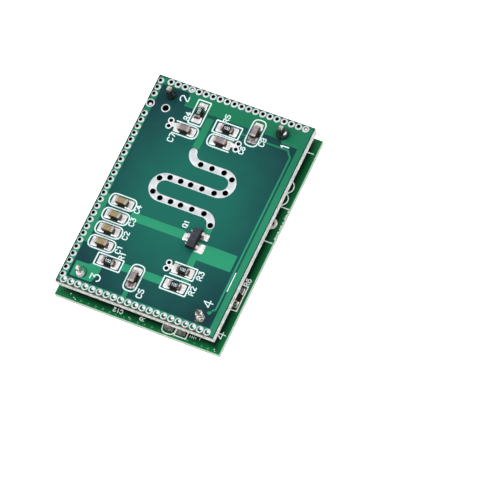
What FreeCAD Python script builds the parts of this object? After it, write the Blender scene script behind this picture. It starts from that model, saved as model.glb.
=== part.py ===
import FreeCAD, Part

import math
import os

Vec = FreeCAD.Vector

# Microwave radar sensor module: a radio board stacked over a control board on four link pins.
# Millimetres. Z is up, the radio board is on top, and the origin is under the middle of the
# control board at the rim of the lead socket, which is what the module stands on.

# The two boards
RF_WIDTH = 22.0
RF_LENGTH = 30.9
RF_THICK = 1.2
CONTROL_SIDE_MARGIN = 0.55
CONTROL_END_MARGIN = 0.35
CONTROL_WIDTH = RF_WIDTH + 2 * CONTROL_SIDE_MARGIN
CONTROL_LENGTH = RF_LENGTH + 2 * CONTROL_END_MARGIN
CONTROL_THICK = 0.8
RF_SHIFT_X = 0.1
RF_SHIFT_Y = 0.15
BOARD_GAP = 2.5

# Edges of each board from its own middle
RF_LEFT = -RF_WIDTH / 2
RF_RIGHT = RF_WIDTH / 2
RF_TOP = RF_LENGTH / 2
RF_BOTTOM = -RF_LENGTH / 2
CONTROL_LEFT = -CONTROL_WIDTH / 2
CONTROL_RIGHT = CONTROL_WIDTH / 2
CONTROL_TOP = CONTROL_LENGTH / 2
CONTROL_BOTTOM = -CONTROL_LENGTH / 2

# Drilled holes are prisms with flat sides, and so is the solder round a pin
HOLE_SIDES = 12
SMALL_HOLE_SIDES = 6

# Via fence of the radio board: rows along its top, bottom and left edges
FENCE_PITCH = 1.0
FENCE_HOLE_R = 0.24
FENCE_TOP_INSET = 0.51
FENCE_BOTTOM_INSET = 0.52
FENCE_LEFT_INSET = 0.4
FENCE_TOP_START = 1.88
FENCE_BOTTOM_START = 1.0
FENCE_ROW_END = 0.9
FENCE_LEFT_ENDS = ((0.72, 3.2), (5.73, 0.9))

# Two large plated holes in the radio board's top left corner
LARGE_HOLE_R = 0.36
LARGE_HOLE_TOP = 4.15
LARGE_HOLE_LEFTS = (0.6, 2.8)

# Tuning line: bare tinned copper in three rows joined by two turns, with a bend at each end
LINE_WIDTH = 1.05
LINE_THICK = 0.06
LINE_TOP_ROW_Y = 5.64
LINE_ROW_PITCH = 3.03
LINE_RIGHT_TURN_X = 2.92
LINE_LEFT_TURN_X = -3.55
LINE_START_X = -2.18
LINE_END_X = 4.2
LINE_BEND_R = 1.45
LINE_START_TRIM = 6
LINE_END_TRIM = 10
LINE_HOLE_R = 0.38
LINE_HOLE_XS = (-3.46, -1.96, -0.56, 1.03, 2.73)
LINE_TURN_HOLE_ANGLE = 41

# How much of a square pin's side is left at its very end
PIN_BLUNT = 0.35

# Link pins that carry the radio board over the control board
PIN_SIDE = 0.6
PIN_TIP = 0.35
PIN_ABOVE = 2.35
PIN_BELOW = 1.1
PIN_HOLE_R = 0.5
SPACER_SIDE = 2.3
SPACER_CHAMFER = 0.45
JOINT_R = 0.82
JOINT_HEIGHT = 1.25
JOINT_TOP_R = 0.42
LOWER_JOINT_HEIGHT = 0.8
PIN_TOP_INSET = 2.25
PIN_BOTTOM_INSET = 1.95
# Each pin's side and end of the board, and how far in it stands
PIN_INSETS = {
    "link_pin_1": (1, 1, 3.55, PIN_TOP_INSET),
    "link_pin_2": (-1, 1, 2.75, PIN_TOP_INSET),
    "link_pin_3": (-1, -1, 2.7, PIN_BOTTOM_INSET),
    "link_pin_4": (1, -1, 2.6, PIN_BOTTOM_INSET),
}

# Chip parts, all of one case size
CHIP_LENGTH = 1.6
CHIP_WIDTH = 0.8
CAPACITOR_HEIGHT = 0.8
RESISTOR_HEIGHT = 0.45
CHIP_END_BAND = 0.34
CHIP_END_WALL = 0.04
PAD_THICK = 0.05
PAD_OVERHANG = 0.62
PAD_UNDERLAP = 0.3
PAD_SIDE = 0.12
FILLET_SHARE = 0.62

# Chips on the radio board: a column near its left edge, rows near its top and bottom edges
COLUMN_INSET = 3.38
COLUMN_START = 6.64
COLUMN_PITCH = 2.03
COLUMN_X = RF_LEFT + COLUMN_INSET
COLUMN_YS = [RF_BOTTOM + COLUMN_START + k * COLUMN_PITCH for k in range(4)]
UPPER_ROW_INSET = 6.12
UPPER_ROW_Y = RF_TOP - UPPER_ROW_INSET

# Each chip's node, kind, middle from the board's middle, and the way it lies
RF_CHIPS = (
    ("capacitor_c1", "capacitor", COLUMN_X, COLUMN_YS[0], "x"),
    ("capacitor_c2", "capacitor", COLUMN_X, COLUMN_YS[1], "x"),
    ("capacitor_c3", "capacitor", COLUMN_X, COLUMN_YS[2], "x"),
    ("capacitor_c4", "capacitor", COLUMN_X, COLUMN_YS[3], "x"),
    ("capacitor_c5", "capacitor", -1.78, RF_BOTTOM + 3.85, "y"),
    ("capacitor_c6", "capacitor", 0.52, UPPER_ROW_Y, "x"),
    ("capacitor_c7", "capacitor", -4.57, UPPER_ROW_Y, "x"),
    ("capacitor_c8", "capacitor", 4.12, RF_TOP - 3.33, "y"),
    ("resistor_r1", "resistor", -5.69, RF_BOTTOM + 4.63, "x"),
    ("resistor_r2", "resistor", 3.52, RF_BOTTOM + 4.69, "x"),
    ("resistor_r3", "resistor", 3.61, RF_BOTTOM + 6.91, "x"),
    ("resistor_r4", "resistor", -3.78, RF_TOP - 3.25, "y"),
    ("resistor_r5", "resistor", 0.56, RF_TOP - 4.17, "x"),
)

# Pairs of small vias beside three of those chips: the middle of each pair and the step in it
CHIP_VIA_PAIRS = ((-6.77, UPPER_ROW_Y + 0.23), (2.73, UPPER_ROW_Y + 0.23), (1.48, RF_BOTTOM + 6.95))
CHIP_VIA_STEP = 0.8

# Microwave transistor in a three-lead case
TRANSISTOR_WIDTH = 1.3
TRANSISTOR_X = LINE_END_X - TRANSISTOR_WIDTH / 2 - 0.3
TRANSISTOR_Y = LINE_TOP_ROW_Y - 2 * LINE_ROW_PITCH - 3.78
TRANSISTOR_LEAD_STEP = 0.95
TRANSISTOR_END = 0.5
TRANSISTOR_LENGTH = 2 * TRANSISTOR_LEAD_STEP + 2 * TRANSISTOR_END
TRANSISTOR_HEIGHT = 1.0
TRANSISTOR_LEAD_WIDTH = 0.42
TRANSISTOR_REACH = 1.25
TRANSISTOR_PAD_WIDTH = 1.05

# Chips on the control board's upper face, from the middle of that board
INNER_CHIPS = (
    ("resistor_r6", "resistor", CONTROL_RIGHT - 1.28, -7.85, "y"),
    ("resistor_r7", "resistor", CONTROL_RIGHT - 5.75, CONTROL_BOTTOM + 2.15, "y"),
    ("capacitor_c9", "capacitor", CONTROL_RIGHT - 7.45, CONTROL_BOTTOM + 2.15, "y"),
    ("resistor_r8", "resistor", -3.1, CONTROL_BOTTOM + 3.2, "y"),
    ("capacitor_c10", "capacitor", 0.6, CONTROL_BOTTOM + 3.2, "y"),
    ("resistor_r9", "resistor", CONTROL_LEFT + 1.95, -4.5, "y"),
    ("capacitor_c11", "capacitor", CONTROL_LEFT + 1.95, 2.0, "y"),
)

# Chips on its underside
UNDER_CHIPS = (
    ("resistor_r10", "resistor", -8.2, -2.6, "y"),
    ("resistor_r11", "resistor", 8.2, -2.6, "y"),
    ("capacitor_c12", "capacitor", CONTROL_LEFT + 1.95, 4.6, "y"),
    ("capacitor_c13", "capacitor", 0.9, CONTROL_TOP - 5.6, "x"),
    ("capacitor_c14", "capacitor", CONTROL_RIGHT - 2.6, 6.4, "y"),
)

# Lead socket: a shrouded three-way header on the underside
SOCKET_X = 0.0
SOCKET_Y = 0.6
SOCKET_WAYS = 3
SOCKET_PITCH = 2.0
SOCKET_END = 1.95
SOCKET_DEPTH = 4.5
SOCKET_HEIGHT = 6.0
SOCKET_WALL = 0.65
SOCKET_FLOOR = 1.4
SOCKET_BACK_SHIFT = 0.35
SOCKET_CORNER_R = 0.35
KEY_SLOT_WIDTH = 0.7
KEY_SLOT_DEPTH = 3.8
KEY_SLOT_INSET = 1.5
END_SLOT_WIDTH = 1.1
END_SLOT_DEPTH = 2.2
SOCKET_PIN_SIDE = 0.5
SOCKET_PIN_INSIDE = 3.4
SOCKET_PIN_TAIL = 1.1
SOCKET_PIN_TIP = 0.3
SOCKET_PIN_HOLE_R = 0.42
SOCKET_JOINT_R = 0.68
SOCKET_JOINT_HEIGHT = 0.75
SOCKET_JOINT_TOP_R = 0.36

# Signal chip on the underside, in a sixteen-lead case
SIGNAL_FROM_SOCKET = 9.2
SIGNAL_X = SOCKET_X
SIGNAL_Y = SOCKET_Y - SIGNAL_FROM_SOCKET
SIGNAL_LEADS = 8
SIGNAL_PITCH = 1.27
SIGNAL_END = 0.505
SIGNAL_WIDTH = 3.9
SIGNAL_LENGTH = (SIGNAL_LEADS - 1) * SIGNAL_PITCH + 2 * SIGNAL_END
SIGNAL_HEIGHT = 1.5
SIGNAL_LEAD_WIDTH = 0.42
SIGNAL_REACH = 3.0
SIGNAL_DIMPLE_R = 0.45
SIGNAL_DIMPLE_DEPTH = 0.12

# Voltage regulator on the underside, with three leads on one side and a tab on the other
REGULATOR_ASIDE = 4.6
REGULATOR_FROM_SOCKET = 8.3
REGULATOR_X = SOCKET_X - REGULATOR_ASIDE
REGULATOR_Y = SOCKET_Y + REGULATOR_FROM_SOCKET
REGULATOR_PITCH = 1.5
REGULATOR_END = 0.75
REGULATOR_WIDTH = 2.5
REGULATOR_LENGTH = 2 * REGULATOR_PITCH + 2 * REGULATOR_END
REGULATOR_HEIGHT = 1.5
REGULATOR_LEAD_WIDTH = 0.45
REGULATOR_TAB_WIDTH = 1.7
REGULATOR_REACH = 2.05

# Moulded cases and bent leads
CASE_STANDOFF = 0.1
CASE_DRAFT = 0.16
LEAD_THICK = 0.16
LEAD_FOOT = 0.42
LEAD_SHOULDER = 0.22
LEAD_PAD_OVERHANG = 0.25

# Two bare plated holes in the control board for a light sensor that is not fitted
SENSOR_HOLE_R = 0.38
SENSOR_HOLE_RIGHT = 1.4
SENSOR_HOLE_Y = 2.95
SENSOR_HOLE_STEP = 2.54

# Levels of the faces, from the socket's rim upwards
CONTROL_UNDER_Z = SOCKET_HEIGHT
CONTROL_TOP_Z = CONTROL_UNDER_Z + CONTROL_THICK
RF_UNDER_Z = CONTROL_TOP_Z + BOARD_GAP
RF_TOP_Z = RF_UNDER_Z + RF_THICK


def block(x, y, z, width, length, height):
    """A box with its middle over x and y, standing on z."""
    return Part.makeBox(width, length, height, Vec(x - width / 2, y - length / 2, z))


def polygon_wire(points):
    """A closed wire through plan points at z = 0."""
    corners = [Vec(x, y, 0) for x, y in points]
    return Part.makePolygon(corners + corners[:1])


def ring_points(x, y, radius, sides):
    """Corners of a regular figure round x and y."""
    turns = [2 * math.pi * (k + 0.5) / sides for k in range(sides)]
    return [(x + radius * math.cos(t), y + radius * math.sin(t)) for t in turns]


def hole_wires(places, radius, sides=HOLE_SIDES):
    return [polygon_wire(ring_points(x, y, radius, sides)) for x, y in places]


def stacked(levels):
    """A solid with flat sides through plan figures of as many corners each, one over the other."""
    rings = [[Vec(x, y, z) for x, y in points] for points, z in levels]
    outlines = [rings[0], rings[-1]]
    for low, high in zip(rings, rings[1:]):
        for k in range(len(low)):
            outlines.append([low[k - 1], low[k], high[k], high[k - 1]])
    faces = [Part.Face(Part.makePolygon(corners + corners[:1])) for corners in outlines]
    solid = Part.Solid(Part.makeShell(faces))
    return solid if solid.Volume > 0 else solid.reversed()


def pierced_plate(outline, holes, thick):
    """A plate on z = 0 from its outline and the wires of its holes."""
    face = Part.makeFace([outline] + holes, "Part::FaceMakerBullseye")
    return face.extrude(Vec(0, 0, thick))


def rectangle_points(width, length):
    x, y = width / 2, length / 2
    return [(-x, -y), (x, -y), (x, y), (-x, y)]


def prism_along_y(profile, y0, y1):
    """A profile of x and z points, carried from y0 to y1."""
    corners = [Vec(x, y0, z) for x, z in profile]
    face = Part.Face(Part.makePolygon(corners + corners[:1]))
    return face.extrude(Vec(0, y1 - y0, 0))


def seated(shape, x, y, z, quarter_turns=0, face_down=False):
    """A part drawn on z = 0, turned in plan, flipped if it faces down, and put in its place."""
    placed = shape.copy()
    placed.rotate(Vec(0, 0, 0), Vec(0, 0, 1), 90 * quarter_turns)
    if face_down:
        placed.rotate(Vec(0, 0, 0), Vec(1, 0, 0), 180)
    placed.translate(Vec(x, y, z))
    return placed


def on_rf(shape, x, y, quarter_turns=0):
    """On the radio board's upper face, from that board's middle."""
    return seated(shape, RF_SHIFT_X + x, RF_SHIFT_Y + y, RF_TOP_Z, quarter_turns)


def on_control(shape, x, y, quarter_turns=0):
    return seated(shape, x, y, CONTROL_TOP_Z, quarter_turns)


def under_control(shape, x, y, quarter_turns=0):
    return seated(shape, x, y, CONTROL_UNDER_Z, quarter_turns, face_down=True)


def link_pins():
    """Name and place of each link pin, set in from the radio board's nearest edges."""
    places = {}
    for name, (side, end, inset_x, inset_y) in PIN_INSETS.items():
        x = side * (RF_WIDTH / 2 - inset_x)
        y = end * (RF_LENGTH / 2 - inset_y)
        places[name] = (RF_SHIFT_X + x, RF_SHIFT_Y + y)
    return places


def row(start, stop, pitch):
    """Evenly spaced places from start towards stop."""
    count = int(round(abs(stop - start) / pitch - 0.25)) + 1
    step = math.copysign(pitch, stop - start)
    return [start + k * step for k in range(count)]


def fence_places():
    """Centres of the via fence, from the radio board's middle."""
    right_end = RF_RIGHT - FENCE_ROW_END
    top_xs = row(RF_LEFT + FENCE_TOP_START, right_end, FENCE_PITCH)
    bottom_xs = row(RF_LEFT + FENCE_BOTTOM_START, right_end, FENCE_PITCH)
    top = [(x, RF_TOP - FENCE_TOP_INSET) for x in top_xs]
    bottom = [(x, RF_BOTTOM + FENCE_BOTTOM_INSET) for x in bottom_xs]
    left = []
    for from_top, to_end in FENCE_LEFT_ENDS:
        upper = from_top < RF_LENGTH / 8
        last = RF_TOP - to_end if upper else RF_BOTTOM + to_end
        left += [(RF_LEFT + FENCE_LEFT_INSET, y) for y in row(RF_TOP - from_top, last, FENCE_PITCH)]
    return top + bottom + left


def on_circle(centre, radius, degrees):
    turn = math.radians(degrees)
    return (centre[0] + radius * math.cos(turn), centre[1] + radius * math.sin(turn))


def line_path():
    """The tuning line's middle as straight runs and arcs. An arc is its centre, radius and two angles."""
    rows = [LINE_TOP_ROW_Y - k * LINE_ROW_PITCH for k in range(3)]
    turn_r = LINE_ROW_PITCH / 2
    start_bend = (LINE_START_X + LINE_BEND_R, rows[0] + LINE_BEND_R)
    right_turn = (LINE_RIGHT_TURN_X, rows[0] - turn_r)
    left_turn = (LINE_LEFT_TURN_X, rows[1] - turn_r)
    end_bend = (LINE_END_X - LINE_BEND_R, rows[2] - LINE_BEND_R)
    return [
        ("arc", start_bend, LINE_BEND_R, 180 + LINE_START_TRIM, 270),
        ("run", (start_bend[0], rows[0]), (right_turn[0], rows[0])),
        ("arc", right_turn, turn_r, 90, -90),
        ("run", (right_turn[0], rows[1]), (left_turn[0], rows[1])),
        ("arc", left_turn, turn_r, 90, 270),
        ("run", (left_turn[0], rows[2]), (end_bend[0], rows[2])),
        ("arc", end_bend, LINE_BEND_R, 90, LINE_END_TRIM),
    ]


def beside(piece, distance):
    """The edge that lies a distance to the left of one piece of the line's middle."""
    if piece[0] == "run":
        (x0, y0), (x1, y1) = piece[1], piece[2]
        length = math.hypot(x1 - x0, y1 - y0)
        dx, dy = -(y1 - y0) / length * distance, (x1 - x0) / length * distance
        return Part.LineSegment(Vec(x0 + dx, y0 + dy, 0), Vec(x1 + dx, y1 + dy, 0)).toShape()
    centre, radius, start, stop = piece[1:]
    radius += distance if stop < start else -distance
    points = [Vec(*on_circle(centre, radius, a), 0) for a in (start, (start + stop) / 2, stop)]
    return Part.Arc(*points).toShape()


def round_end(piece, at_start):
    """Half a circle that closes the line round the end of its first or last arc."""
    centre, radius, start, stop = piece[1:]
    angle = start if at_start else stop
    tip = on_circle(centre, radius, angle)
    way = math.copysign(1, start - stop) if at_start else math.copysign(1, stop - start)
    ahead = angle + 90 * way
    points = [on_circle(tip, LINE_WIDTH / 2, a) for a in (angle, ahead, angle + 180)]
    return Part.Arc(*[Vec(x, y, 0) for x, y in points]).toShape()


def line_outline():
    """Both sides of the tuning line and its two round ends, as one closed wire."""
    path = line_path()
    edges = [beside(piece, side) for side in (LINE_WIDTH / 2, -LINE_WIDTH / 2) for piece in path]
    edges += [round_end(path[0], True), round_end(path[-1], False)]
    return Part.Wire(Part.__sortEdges__(edges))


def line_hole_places():
    """Holes in the rows, two in each turn and one in the end bend, from the radio board's middle."""
    path = line_path()
    right_turn, left_turn, end_bend = path[2], path[4], path[6]
    places = [(x, LINE_TOP_ROW_Y) for x in LINE_HOLE_XS if x > LINE_START_X + LINE_BEND_R]
    for k in (1, 2):
        places += [(x, LINE_TOP_ROW_Y - k * LINE_ROW_PITCH) for x in LINE_HOLE_XS]
    for turn, middle in ((right_turn, 0), (left_turn, 180)):
        for side in (-1, 1):
            places.append(on_circle(turn[1], turn[2], middle + side * LINE_TURN_HOLE_ANGLE))
    places.append(on_circle(end_bend[1], end_bend[2], LINE_END_TRIM))
    return places


def large_hole_places():
    return [(RF_LEFT + inset, RF_TOP - LARGE_HOLE_TOP) for inset in LARGE_HOLE_LEFTS]


def chip_via_places():
    return [(x, y + side * CHIP_VIA_STEP / 2) for x, y in CHIP_VIA_PAIRS for side in (-1, 1)]


def sensor_hole_places():
    right = CONTROL_WIDTH / 2 - SENSOR_HOLE_RIGHT
    return [(right - k * SENSOR_HOLE_STEP, SENSOR_HOLE_Y) for k in (0, 1)]


def socket_pin_xs():
    middle = (SOCKET_WAYS - 1) / 2
    return [SOCKET_X + (k - middle) * SOCKET_PITCH for k in range(SOCKET_WAYS)]


def socket_pin_y():
    return SOCKET_Y + SOCKET_BACK_SHIFT


def rf_board():
    """Radio board with its via fence and the holes of its line, pins and chips."""
    pins = [(x - RF_SHIFT_X, y - RF_SHIFT_Y) for x, y in link_pins().values()]
    holes = hole_wires(fence_places() + chip_via_places(), FENCE_HOLE_R, SMALL_HOLE_SIDES)
    holes += hole_wires(line_hole_places(), LINE_HOLE_R)
    holes += hole_wires(large_hole_places(), LARGE_HOLE_R)
    holes += hole_wires(pins, PIN_HOLE_R)
    outline = polygon_wire(rectangle_points(RF_WIDTH, RF_LENGTH))
    return seated(pierced_plate(outline, holes, RF_THICK), RF_SHIFT_X, RF_SHIFT_Y, RF_UNDER_Z)


def control_board():
    """Control board with the holes of the link pins, the socket's pins and the unfitted light sensor."""
    holes = hole_wires(link_pins().values(), PIN_HOLE_R)
    holes += hole_wires([(x, socket_pin_y()) for x in socket_pin_xs()], SOCKET_PIN_HOLE_R)
    holes += hole_wires(sensor_hole_places(), SENSOR_HOLE_R)
    outline = polygon_wire(rectangle_points(CONTROL_WIDTH, CONTROL_LENGTH))
    return seated(pierced_plate(outline, holes, CONTROL_THICK), 0, 0, CONTROL_UNDER_Z)


def tuning_line():
    """The bare line on the radio board, with its drilled holes."""
    holes = hole_wires(line_hole_places(), LINE_HOLE_R)
    return on_rf(pierced_plate(line_outline(), holes, LINE_THICK), 0, 0)


def chip_body(height):
    """The ceramic block of a chip, along X, inside its two metal ends."""
    wall = CHIP_END_WALL
    return block(0, 0, PAD_THICK + wall, CHIP_LENGTH - 2 * wall, CHIP_WIDTH - 2 * wall, height - 2 * wall)


def chip_ends(height):
    """The two metal caps that wrap the ends of a chip."""
    middle = (CHIP_LENGTH - CHIP_END_BAND) / 2
    caps = [block(side * middle, 0, PAD_THICK, CHIP_END_BAND, CHIP_WIDTH, height) for side in (-1, 1)]
    return [cap.cut(chip_body(height)) for cap in caps]


def solder_wedge(end, height, width, inner, outer):
    """Solder on a pad from inner to outer, rising against a metal end that stands at end."""
    profile = [
        (inner, 0),
        (outer, 0),
        (outer, PAD_THICK * 1.4),
        ((end + outer) / 2, PAD_THICK + height * 0.3),
        (end, PAD_THICK + height),
        (end, PAD_THICK),
        (inner, PAD_THICK),
    ]
    return prism_along_y(profile, -width / 2, width / 2)


def chip_solder(height):
    """The two soldered pads of a chip."""
    end = CHIP_LENGTH / 2
    inner = end - CHIP_END_BAND - PAD_UNDERLAP
    width = CHIP_WIDTH + 2 * PAD_SIDE
    wedge = solder_wedge(end, height * FILLET_SHARE, width, inner, end + PAD_OVERHANG)
    return [wedge, seated(wedge, 0, 0, 0, quarter_turns=2)]


def moulded_case(width, length, height):
    """A moulded chip case whose sides lean in above and below the leads."""
    waist = rectangle_points(width, length)
    leaned = rectangle_points(width - 2 * CASE_DRAFT, length - 2 * CASE_DRAFT)
    foot, top = CASE_STANDOFF, CASE_STANDOFF + height
    return stacked(((leaned, foot), (waist, (foot + top) / 2), (leaned, top)))


def bent_lead(case_half, reach, height, width):
    """A lead that leaves a case on its +X side, turns down and lies on its pad."""
    exit_z = CASE_STANDOFF + height / 2
    knee = case_half + LEAD_SHOULDER
    heel = reach - LEAD_FOOT
    top = exit_z + LEAD_THICK / 2
    sole = PAD_THICK
    profile = [
        (case_half, top),
        (knee + LEAD_THICK / 2, top),
        (heel + LEAD_THICK, sole + LEAD_THICK),
        (reach, sole + LEAD_THICK),
        (reach, sole),
        (heel, sole),
        (knee, top - LEAD_THICK),
        (case_half, top - LEAD_THICK),
    ]
    return prism_along_y(profile, -width / 2, width / 2)


def lead_solder(reach, width):
    """The soldered pad under a bent lead's foot."""
    inner = reach - LEAD_FOOT - LEAD_PAD_OVERHANG
    return solder_wedge(reach, LEAD_THICK * 0.8, width, inner, reach + LEAD_PAD_OVERHANG * 2)


def lead_set(places, part):
    """Copies of a lead or pad at the given sides and steps: side 1 is the case's +X side, -1 its -X."""
    return [seated(part, 0, step, 0, quarter_turns=1 - side) for side, step in places]


def transistor():
    """Case, leads and pads of the microwave transistor: one lead on the left, two on the right."""
    case = moulded_case(TRANSISTOR_WIDTH, TRANSISTOR_LENGTH, TRANSISTOR_HEIGHT)
    places = ((-1, 0), (1, TRANSISTOR_LEAD_STEP), (1, -TRANSISTOR_LEAD_STEP))
    half = TRANSISTOR_WIDTH / 2
    lead = bent_lead(half, TRANSISTOR_REACH, TRANSISTOR_HEIGHT, TRANSISTOR_LEAD_WIDTH)
    pad = lead_solder(TRANSISTOR_REACH, TRANSISTOR_PAD_WIDTH)
    groups = ([case], lead_set(places, lead), lead_set(places, pad))
    return [[on_rf(s, TRANSISTOR_X, TRANSISTOR_Y) for s in group] for group in groups]


def signal_chip():
    """Case with a dimple at its first lead, two rows of leads, and their pads."""
    case = moulded_case(SIGNAL_WIDTH, SIGNAL_LENGTH, SIGNAL_HEIGHT)
    top = CASE_STANDOFF + SIGNAL_HEIGHT
    dimple = Part.makeCylinder(
        SIGNAL_DIMPLE_R,
        SIGNAL_DIMPLE_DEPTH * 2,
        Vec(-SIGNAL_WIDTH / 4, SIGNAL_LENGTH / 2 - 3 * SIGNAL_DIMPLE_R, top - SIGNAL_DIMPLE_DEPTH),
    )
    case = case.cut(dimple)
    steps = [(k - (SIGNAL_LEADS - 1) / 2) * SIGNAL_PITCH for k in range(SIGNAL_LEADS)]
    places = [(side, step) for side in (-1, 1) for step in steps]
    half = SIGNAL_WIDTH / 2
    lead = bent_lead(half, SIGNAL_REACH, SIGNAL_HEIGHT, SIGNAL_LEAD_WIDTH)
    pad = lead_solder(SIGNAL_REACH, SIGNAL_LEAD_WIDTH + PAD_SIDE)
    groups = ([case], lead_set(places, lead), lead_set(places, pad))
    x, y = SIGNAL_X, SIGNAL_Y
    return [[under_control(s, x, y, quarter_turns=1) for s in group] for group in groups]


def regulator():
    """Case, three flat leads, a broad tab opposite them, and their pads."""
    case = moulded_case(REGULATOR_WIDTH, REGULATOR_LENGTH, REGULATOR_HEIGHT)
    half = REGULATOR_WIDTH / 2
    leads = []
    pads = []
    for step in (-REGULATOR_PITCH, 0, REGULATOR_PITCH):
        leads.append(flat_lead(1, half, step, REGULATOR_LEAD_WIDTH))
        pads.append(flat_lead_pad(1, half, step, REGULATOR_LEAD_WIDTH))
    leads.append(flat_lead(-1, half, 0, REGULATOR_TAB_WIDTH))
    pads.append(flat_lead_pad(-1, half, 0, REGULATOR_TAB_WIDTH))
    case = case.cut(leads)
    groups = ([case], leads, pads)
    x, y = REGULATOR_X, REGULATOR_Y
    return [[under_control(s, x, y, quarter_turns=1) for s in group] for group in groups]


def flat_lead(side, half, step, width):
    """A straight lead that leaves the foot of the regulator's case and lies on its pad."""
    inside = 2 * CASE_DRAFT
    length = REGULATOR_REACH - half + inside
    return block(side * (half - inside + length / 2), step, PAD_THICK, length, width, LEAD_THICK * 2)


def flat_lead_pad(side, half, step, width):
    length = REGULATOR_REACH - half + LEAD_PAD_OVERHANG
    return block(side * (half + length / 2), step, 0, length, width + 2 * PAD_SIDE, PAD_THICK)


def square_pin(side, bottom, top, tip):
    """A square pin on the Z axis whose two ends are pointed over the length of a tip."""
    full = rectangle_points(side, side)
    blunt = rectangle_points(side * PIN_BLUNT, side * PIN_BLUNT)
    return stacked(((blunt, bottom), (full, bottom + tip), (full, top - tip), (blunt, top)))


def solder_cone(radius, top_radius, height, pin_side):
    """Solder that has climbed a square pin from its pad, with a hollow flank."""
    middle_radius = top_radius + (radius - top_radius) * 0.38
    levels = ((radius, 0), (middle_radius, height * 0.32), (top_radius, height))
    cone = stacked([(ring_points(0, 0, r, HOLE_SIDES), z) for r, z in levels])
    return cone.cut(block(0, 0, -height, pin_side, pin_side, 3 * height))


def link_pin(place):
    """A pin through both boards, standing proud of each."""
    pin = square_pin(PIN_SIDE, CONTROL_UNDER_Z - PIN_BELOW, RF_TOP_Z + PIN_ABOVE, PIN_TIP)
    return seated(pin, place[0], place[1], 0)


def link_spacer(place):
    """The plastic block of a link pin, which keeps the boards apart."""
    half, cut = SPACER_SIDE / 2, SPACER_CHAMFER
    points = []
    for x, y in ((1, 1), (-1, 1), (-1, -1), (1, -1)):
        first, second = (x * half, y * (half - cut)), (x * (half - cut), y * half)
        points += [first, second] if x * y > 0 else [second, first]
    hole = polygon_wire(rectangle_points(PIN_SIDE, PIN_SIDE))
    return seated(pierced_plate(polygon_wire(points), [hole], BOARD_GAP), place[0], place[1], CONTROL_TOP_Z)


def link_joints():
    """Solder cones on the radio board's upper face and on the control board's underside."""
    upper = solder_cone(JOINT_R, JOINT_TOP_R, JOINT_HEIGHT, PIN_SIDE)
    lower = solder_cone(JOINT_R, JOINT_TOP_R, LOWER_JOINT_HEIGHT, PIN_SIDE)
    places = link_pins().values()
    return (
        [seated(upper, x, y, RF_TOP_Z) for x, y in places],
        [seated(lower, x, y, CONTROL_UNDER_Z, face_down=True) for x, y in places],
    )


def socket_shroud():
    """The socket's open moulding, drawn with its floor on z = 0 and its mouth up."""
    width = (SOCKET_WAYS - 1) * SOCKET_PITCH + 2 * SOCKET_END
    body = block(0, 0, 0, width, SOCKET_DEPTH, SOCKET_HEIGHT)
    uprights = [e for e in body.Edges if abs(e.tangentAt(e.FirstParameter).z) > 0.9]
    body = body.makeFillet(SOCKET_CORNER_R, uprights)
    rise = SOCKET_HEIGHT - SOCKET_FLOOR
    cavity = block(0, 0, SOCKET_FLOOR, width - 2 * SOCKET_WALL, SOCKET_DEPTH - 2 * SOCKET_WALL, 2 * rise)
    front = -(SOCKET_DEPTH - SOCKET_WALL) / 2
    key_z, end_z = SOCKET_HEIGHT - KEY_SLOT_DEPTH, SOCKET_HEIGHT - END_SLOT_DEPTH
    cuts = [cavity]
    for side in (-1, 1):
        x = side * (width / 2 - KEY_SLOT_INSET)
        cuts.append(block(x, front, key_z, KEY_SLOT_WIDTH, 2 * SOCKET_WALL, 2 * KEY_SLOT_DEPTH))
        x = side * (width - SOCKET_WALL) / 2
        cuts.append(block(x, 0, end_z, 2 * SOCKET_WALL, END_SLOT_WIDTH, 2 * END_SLOT_DEPTH))
    side = SOCKET_PIN_SIDE
    pin = block(-SOCKET_X, -SOCKET_BACK_SHIFT, -SOCKET_FLOOR, side, side, 3 * SOCKET_FLOOR)
    cuts += [seated(pin, x, 0, 0) for x in socket_pin_xs()]
    return under_control(body.cut(cuts), SOCKET_X, SOCKET_Y)


def socket_pins():
    """The socket's pins, from their tails over the control board to their tips in the shroud."""
    bottom = CONTROL_UNDER_Z - SOCKET_FLOOR - SOCKET_PIN_INSIDE
    top = CONTROL_TOP_Z + SOCKET_PIN_TAIL
    pin = square_pin(SOCKET_PIN_SIDE, bottom, top, SOCKET_PIN_TIP)
    return [seated(pin, x, socket_pin_y(), 0) for x in socket_pin_xs()]


def socket_joints():
    cone = solder_cone(SOCKET_JOINT_R, SOCKET_JOINT_TOP_R, SOCKET_JOINT_HEIGHT, SOCKET_PIN_SIDE)
    return [on_control(cone, x, socket_pin_y()) for x in socket_pin_xs()]


def chip_set(chips, place):
    """Bodies by name, then all metal ends and all soldered pads, of the chips on one face of a board."""
    bodies, ends, solder = {}, [], []
    for name, kind, x, y, way in chips:
        height = CAPACITOR_HEIGHT if kind == "capacitor" else RESISTOR_HEIGHT
        turns = 1 if way == "y" else 0
        bodies[name] = [place(chip_body(height), x, y, turns)]
        ends += [place(end, x, y, turns) for end in chip_ends(height)]
        solder += [place(pad, x, y, turns) for pad in chip_solder(height)]
    return bodies, ends, solder


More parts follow.
